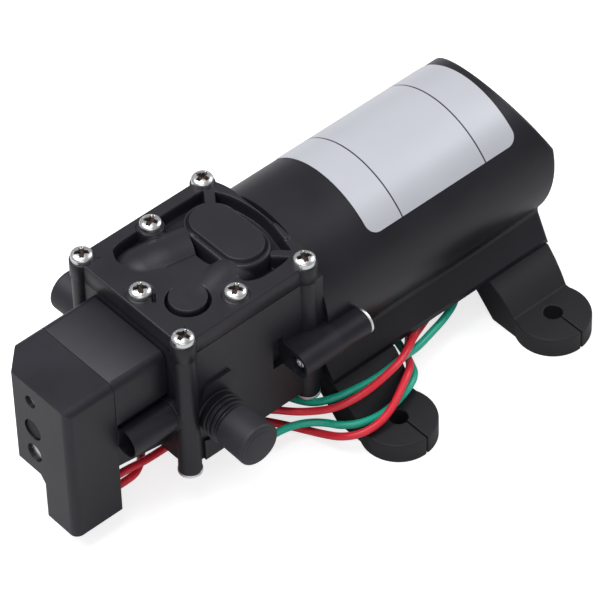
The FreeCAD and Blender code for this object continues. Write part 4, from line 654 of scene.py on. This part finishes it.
# Leads: routes in millimetres, lengths and widths in metres
outletX, outletHalf, outletZ, terminalX, terminalY = 66.0, 0.92, 12.6, -68.4, -11.3
leads = {
    "red_link_lead": {
        "node": "lead_red_link", "look": "leadRed", "farEnd": "object", "length": 0.1633,
        "route": [
            (terminalX, terminalY, 15.6), (-62.6, terminalY, 15.6), (-55.4, -11.2, 14.0),
            (-46.4, -10.0, 12.2), (-37.0, -9.2, 10.8), (-28.0, -9.8, 9.7), (-20.6, -12.6, 9.2),
            (-15.2, -16.8, 9.0), (-11.6, -21.6, 9.2), (-8.0, -25.8, 10.2), (-4.6, -29.8, 12.0),
            (-0.2, -32.6, 14.4), (5.4, -33.6, 15.8), (11.4, -33.2, 16.4), (17.2, -32.0, 16.4),
            (22.6, -29.4, 15.6), (27.8, -25.6, 13.2), (33.6, -21.8, 9.6), (41.0, -17.8, 6.8),
            (49.0, -13.0, 4.4), (56.0, -8.0, 3.1), (62.1, -2.1, 3.0),
            (outletX - outletHalf, outletHalf, 7.2),
            (outletX - outletHalf, outletHalf, outletZ)]},
    "green_supply_lead": {
        "node": "lead_green_supply", "look": "leadGreen", "farEnd": "bare", "length": 0.2407,
        "end": "green_bare_end",
        "route": [
            (outletX + outletHalf, -outletHalf, outletZ),
            (outletX + outletHalf, -outletHalf, 7.2), (63.9, -3.9, 3.0),
            (58.6, -9.8, 3.3), (53.4, -15.4, 5.2), (48.0, -20.0, 7.4), (41.4, -23.2, 8.9),
            (34.6, -25.4, 10.0), (28.0, -27.3, 10.6), (22.4, -29.0, 13.0), (15.8, -30.4, 14.1),
            (9.4, -31.2, 14.7), (3.2, -30.6, 14.9), (-2.0, -28.4, 13.4), (-6.2, -24.6, 11.2),
            (-8.0, -19.8, 9.4), (-9.8, -13.6, 8.7), (-13.8, -8.2, 8.1), (-19.8, -5.0, 7.5),
            (-26.0, -6.9, 7.1), (-28.9, -12.6, 6.8), (-27.2, -18.8, 6.5), (-21.6, -21.6, 6.3),
            (-15.0, -22.2, 6.2), (-9.8, -24.6, 6.2), (-6.4, -28.4, 6.6), (-4.8, -32.4, 7.4),
            (-1.0, -36.0, 8.2), (4.6, -37.4, 8.2), (11.0, -37.0, 8.2), (16.3, -36.2, 9.7),
            (21.2, -33.6, 9.3), (25.2, -27.8, 5.8), (28.2, -21.6, 4.1), (30.8, -14.4, 2.9),
            (32.0, -6.0, 2.3), (31.0, 2.6, 2.1), (27.6, 10.4, 2.1)]},
    "red_supply_lead": {
        "node": "lead_red_supply", "look": "leadRed", "farEnd": "bare", "length": 0.1752,
        "end": "red_bare_end",
        "route": [
            (terminalX, terminalY, 11.4), (-63.4, terminalY, 11.4), (-58.4, -11.0, 11.0),
            (-54.4, -8.4, 10.4), (-51.2, -4.6, 9.4), (-46.6, -1.4, 8.0), (-39.6, 0.0, 6.2),
            (-31.0, -1.8, 4.2), (-22.6, -6.4, 2.9), (-16.0, -12.8, 2.2), (-11.6, -19.6, 2.0),
            (-9.0, -25.6, 2.7), (-8.0, -30.6, 4.6), (-7.0, -35.0, 6.6), (-3.8, -38.6, 8.0),
            (1.4, -40.2, 9.2), (7.2, -39.4, 10.5), (12.8, -36.8, 11.6), (18.0, -34.2, 12.6),
            (22.2, -30.7, 11.0), (25.4, -25.4, 7.8), (30.2, -21.2, 6.4), (35.4, -15.6, 4.9),
            (39.0, -8.4, 3.4), (40.2, 0.2, 2.4), (38.6, 9.0, 2.1), (33.6, 16.4, 2.1)]},
}
insulated = {"diameter": 0.0022, "steps": 8, "roundness": 4, "order": 3}
strands = {"count": 7, "length": 0.0058, "reach": 0.00046, "radius": 0.00023, "twist": 5.0,
           "rows": 24, "around": 9}


def bareEnd(name, route):
    # seven tinned strands: a circle carried along a helix about the lead's last direction
    rows, around = strands["rows"], strands["around"]
    start, before = np.array(route[-1]) / 1000, np.array(route[-2]) / 1000
    along = (start - before) / np.linalg.norm(start - before)
    side = np.cross(along, (0, 0, 1.0))
    side /= np.linalg.norm(side)
    upward = np.cross(side, along)
    t = np.linspace(0, 1, rows)[:, None]
    turn = np.linspace(0, 2 * np.pi, around, endpoint=False)[:, None]
    circle = strands["radius"] * (np.cos(turn) * side + np.sin(turn) * upward)
    vertices, faces = [], []
    for k in range(strands["count"]):
        reach = strands["reach"] if k else 0.0  # the first strand is the middle one
        phase = k * np.pi / 3 + t * strands["twist"]
        middle = (start + t * strands["length"] * along
                  + reach * (np.cos(phase) * side + np.sin(phase) * upward))
        vertices.append((middle[:, None, :] + circle[None, :, :]).reshape(-1, 3))
        faces.append(gridFaces(rows, around, k * rows * around, True))
    mesh = weldedMesh(name, np.vstack(vertices), np.vstack(faces), sharp=0, perMetre=1)
    return addPiece(name, mesh, "lead_ends", finish["tinned"])


def laidLead(name, lead):
    # a round lead on one smooth open spline through its route
    curve = bpy.data.curves.new(name, "CURVE")
    curve.dimensions = "3D"
    curve.resolution_u = insulated["steps"]
    curve.bevel_depth = insulated["diameter"] / 2
    curve.bevel_resolution = insulated["roundness"]
    curve.use_fill_caps = True
    spline = curve.splines.new("NURBS")
    spline.points.add(len(lead["route"]) - 1)
    points = np.ones((len(lead["route"]), 4))
    points[:, :3] = np.array(lead["route"]) / 1000
    spline.points.foreach_set("co", points.ravel())
    spline.order_u = insulated["order"]
    spline.use_endpoint_u = True
    piece = addPiece(name, curve, lead["node"], finish[lead["look"]])


ends = {name: [bareEnd(lead["end"], lead["route"])] for name, lead in leads.items()
        if "end" in lead}
for name, lead in leads.items():
    laidLead(name, lead)
print("leads laid")

# Heads of the cover's screws, in metres; the spins are in radians
screwHead = {"radius": 0.0031, "height": 0.0022, "recess": 0.00125, "arm": 0.0020,
             "armHalf": 0.00055, "seat": 0.06142, "rows": 30, "around": 72,
             "spins": (0.35, 0.9, 1.2, 0.2, 0.5, 0.65, 1.0)}


def panHeads():
    # domed heads on a polar grid: height falls off as a superellipse of the radius, and a cross
    # of two tapering arms is set into the middle; the faces in the cross get a dark painted
    # shade
    head, rows, around = screwHead, screwHead["rows"], screwHead["around"]
    r = head["radius"] * np.concatenate([np.linspace(0.02, 0.985, rows - 3), [1.0, 1.0, 0.93]])
    radius, angle = np.meshgrid(r, np.linspace(0, 2 * np.pi, around, endpoint=False),
                                indexing="ij")
    x, y = radius * np.cos(angle), radius * np.sin(angle)
    share = np.clip(radius / head["radius"], 0, 1)
    height = head["height"] * (0.42 + 0.58 * (1 - share ** 3.0) ** 0.5)
    reach = np.maximum(np.abs(x), np.abs(y))
    across = np.minimum(np.abs(x), np.abs(y))
    width = head["armHalf"] * (1.25 - 0.35 * reach / head["arm"])
    inside = np.clip((width - across) / (0.25 * head["armHalf"]) + 0.5, 0, 1)
    arms = np.clip((head["arm"] - reach) / (0.35 * head["arm"]), 0, 1)
    height = height - head["recess"] * inside * arms ** 0.6
    height[-2, :] = 0.0
    height[-1, :] = -0.00002
    # painted shade: faces deep in the cross are marked for the dark recess colour
    recessShadeFaces = ((inside * arms)[:-1] > 0.35).ravel().astype(int).tolist()
    vertices, faces, shades = [], [], []
    spots = cover["screws"] + [boss[:2] for boss in cover["bosses"]]
    for count, (spot, spin) in enumerate(zip(spots, head["spins"])):
        c, s = np.cos(spin), np.sin(spin)
        local = np.stack([c * x - s * y, s * x + c * y, height], -1).reshape(-1, 3)
        vertices.append(local + (spot[0] / 1000, spot[1] / 1000, head["seat"]))
        first = count * rows * around
        faces += gridFaces(rows, around, first, True).tolist()
        faces.append(list(range(first, first + around)))  # over the middle of the cross
        # painted shade also covers the cap over the middle of the cross
        shades += recessShadeFaces + [1]
    mesh = weldedMesh("cover_screw_heads", np.concatenate(vertices), faces, perMetre=1)
    addPiece("cover_screw_heads", mesh, "cover_screws", finish["brightSteel"])
    # second material: painted shade in the cross recesses
    mesh.materials.append(finish["paintedRecessShade"])
    mesh.polygons.foreach_set("material_index", shades)


panHeads()
print("screws made")

# Label, in metres and degrees, with two thin lines across it
labelSheet = {"front": 0.0184, "rear": 0.0718, "span": 104.4, "radius": 0.02477,
              "thick": 0.00015, "corner": 0.0035, "axisZ": 0.0384, "rows": 90, "columns": 72,
              "lines": (0.0296, 0.0599), "lineHalf": 0.00022, "line": (0.035, 0.035, 0.05),
              "shaded": (0.48, 0.49, 0.53), "lit": (0.55, 0.56, 0.60), "cloud": 40.0,
              "detail": 2.0, "roughness": 0.34, "metallic": 0.25}


def labelFilm():
    # pale film, a little metallic, that clouds slowly between two tones
    sheet = labelSheet
    material, nodes, links, surface = newMaterial("labelFilm")
    noise = objectNoise(nodes, links, sheet["cloud"], sheet["detail"])
    colour = blendedTone(nodes, links, noise, sheet["shaded"], sheet["lit"])
    place = nodes.new("ShaderNodeTexCoord")
    apart = nodes.new("ShaderNodeSeparateXYZ")
    links.new(place.outputs["Object"], apart.inputs["Vector"])
    for x in sheet["lines"]:
        # dark where the distance along the shaft is within half a line's width
        line = nodes.new("ShaderNodeMath")
        line.operation = "COMPARE"
        line.inputs[1].default_value = x
        line.inputs[2].default_value = sheet["lineHalf"]
        links.new(apart.outputs["X"], line.inputs[0])
        ink = nodes.new("ShaderNodeMix")
        ink.data_type = "RGBA"
        ink.inputs["B"].default_value = (*sheet["line"], 1)
        links.new(line.outputs["Value"], ink.inputs["Factor"])
        links.new(colour, ink.inputs["A"])
        colour = ink.outputs["Result"]
    links.new(colour, surface.inputs["Base Color"])
    surface.inputs["Roughness"].default_value = sheet["roughness"]
    surface.inputs["Metallic"].default_value = sheet["metallic"]
    return material


def wrappedLabel():
    # a sheet bent round the housing: u runs along the shaft, v round it, and the rows are
    # shortened near the two ends so that the corners come out round
    sheet, rows, columns = labelSheet, labelSheet["rows"], labelSheet["columns"]
    corner, radius = sheet["corner"], sheet["radius"]
    arc = np.radians(sheet["span"]) * radius
    v = (1 - np.cos(np.linspace(0, np.pi, rows))) / 2 * arc
    fromEnd = np.minimum(v, arc - v)
    inset = np.where(fromEnd < corner,
                     corner - np.sqrt(np.maximum(0, corner ** 2 - (corner - fromEnd) ** 2)), 0)
    inset = inset[:, None]
    u = np.linspace(0, 1, columns)
    x = sheet["front"] + inset + u * (sheet["rear"] - sheet["front"] - 2 * inset)
    angle = np.radians(90 + sheet["span"] / 2) - v[:, None] / radius
    layers = []
    for reach in (radius, radius + sheet["thick"]):
        y = reach * np.cos(angle) + 0 * x
        z = sheet["axisZ"] + reach * np.sin(angle) + 0 * x
        layers.append(np.stack([x, y, z], -1).reshape(-1, 3))
    # the two skins are joined by a strip all round
    skin, total = gridFaces(rows, columns), rows * columns
    rim = np.concatenate([np.arange(columns), columns * np.arange(1, rows) + columns - 1,
                          columns * (rows - 1) + np.arange(columns - 2, -1, -1),
                          columns * np.arange(rows - 2, 0, -1)])
    strip = np.stack([rim, np.roll(rim, -1), np.roll(rim, -1) + total, rim + total], -1)
    faces = np.concatenate([skin, skin[:, ::-1] + total, strip])
    mesh = weldedMesh("label_sheet", np.concatenate(layers), faces, perMetre=1)
    addPiece("label_sheet", mesh, "motor_label", labelFilm())


wrappedLabel()
print("label made")

# Floor and light: where each lamp stands, its power and its size, all aimed at one point
studio = {
    "lamps": {"key": ((-0.35, 0.25, 1.1), 13.0, 0.9), "fill": ((-0.9, -0.9, 0.8), 3.3, 1.0),
              "rim": ((0.9, -0.2, 0.7), 4.0, 0.6)},
    "aim": (0, 0, 0.04), "floorHalf": 3, "floor": (0.62, 0.62, 0.62), "floorRoughness": 0.6,
    "floorGlow": 0.72, "sky": (0.94, 0.95, 1.0), "skyStrength": 0.42,
}
for name, (place, power, size) in studio["lamps"].items():
    lamp = bpy.data.objects.new(name, bpy.data.lights.new(name, "AREA"))
    lamp.data.energy = power
    lamp.data.size = size
    lamp.location = place
    aim = Vector(studio["aim"]) - Vector(place)
    lamp.rotation_euler = aim.to_track_quat("-Z", "Y").to_euler()
    scene.collection.objects.link(lamp)

wide = studio["floorHalf"]
floorMesh = bpy.data.meshes.new("floor")
floorMesh.from_pydata([(-wide, -wide, 0), (wide, -wide, 0), (wide, wide, 0), (-wide, wide, 0)],
                      [], [(0, 1, 2, 3)])
floor = bpy.data.objects.new("floor", floorMesh)
scene.collection.objects.link(floor)
# the camera sees the floor with a glow added, which whitens it and keeps the shadow
material, nodes, links, surface = newMaterial("paleFloor")
surface.inputs["Base Color"].default_value = (*studio["floor"], 1)
surface.inputs["Roughness"].default_value = studio["floorRoughness"]
glow = nodes.new("ShaderNodeEmission")
glow.inputs["Color"].default_value = (1, 1, 1, 1)
glow.inputs["Strength"].default_value = studio["floorGlow"]
both, pick = nodes.new("ShaderNodeAddShader"), nodes.new("ShaderNodeMixShader")
rays = nodes.new("ShaderNodeLightPath")
links.new(surface.outputs["BSDF"], both.inputs[0])
links.new(glow.outputs["Emission"], both.inputs[1])
links.new(rays.outputs["Is Camera Ray"], pick.inputs["Fac"])
links.new(surface.outputs["BSDF"], pick.inputs[1])
links.new(both.outputs["Shader"], pick.inputs[2])
links.new(pick.outputs["Shader"], nodes["Material Output"].inputs["Surface"])
floorMesh.materials.append(material)

# pale sky that lights the object, and plain white behind it
world = bpy.data.worlds.new("studio")
scene.world = world
world.use_nodes = True
nodes, links = world.node_tree.nodes, world.node_tree.links
sky, white = nodes["Background"], nodes.new("ShaderNodeBackground")
sky.inputs["Color"].default_value = (*studio["sky"], 1)
sky.inputs["Strength"].default_value = studio["skyStrength"]
white.inputs["Strength"].default_value = 1.0
rays, pick = nodes.new("ShaderNodeLightPath"), nodes.new("ShaderNodeMixShader")
links.new(rays.outputs["Is Camera Ray"], pick.inputs["Fac"])
links.new(sky.outputs["Background"], pick.inputs[1])
links.new(white.outputs["Background"], pick.inputs[2])
links.new(pick.outputs["Shader"], nodes["World Output"].inputs["Surface"])
scene.view_settings.view_transform = "Standard"
print("stage lit")
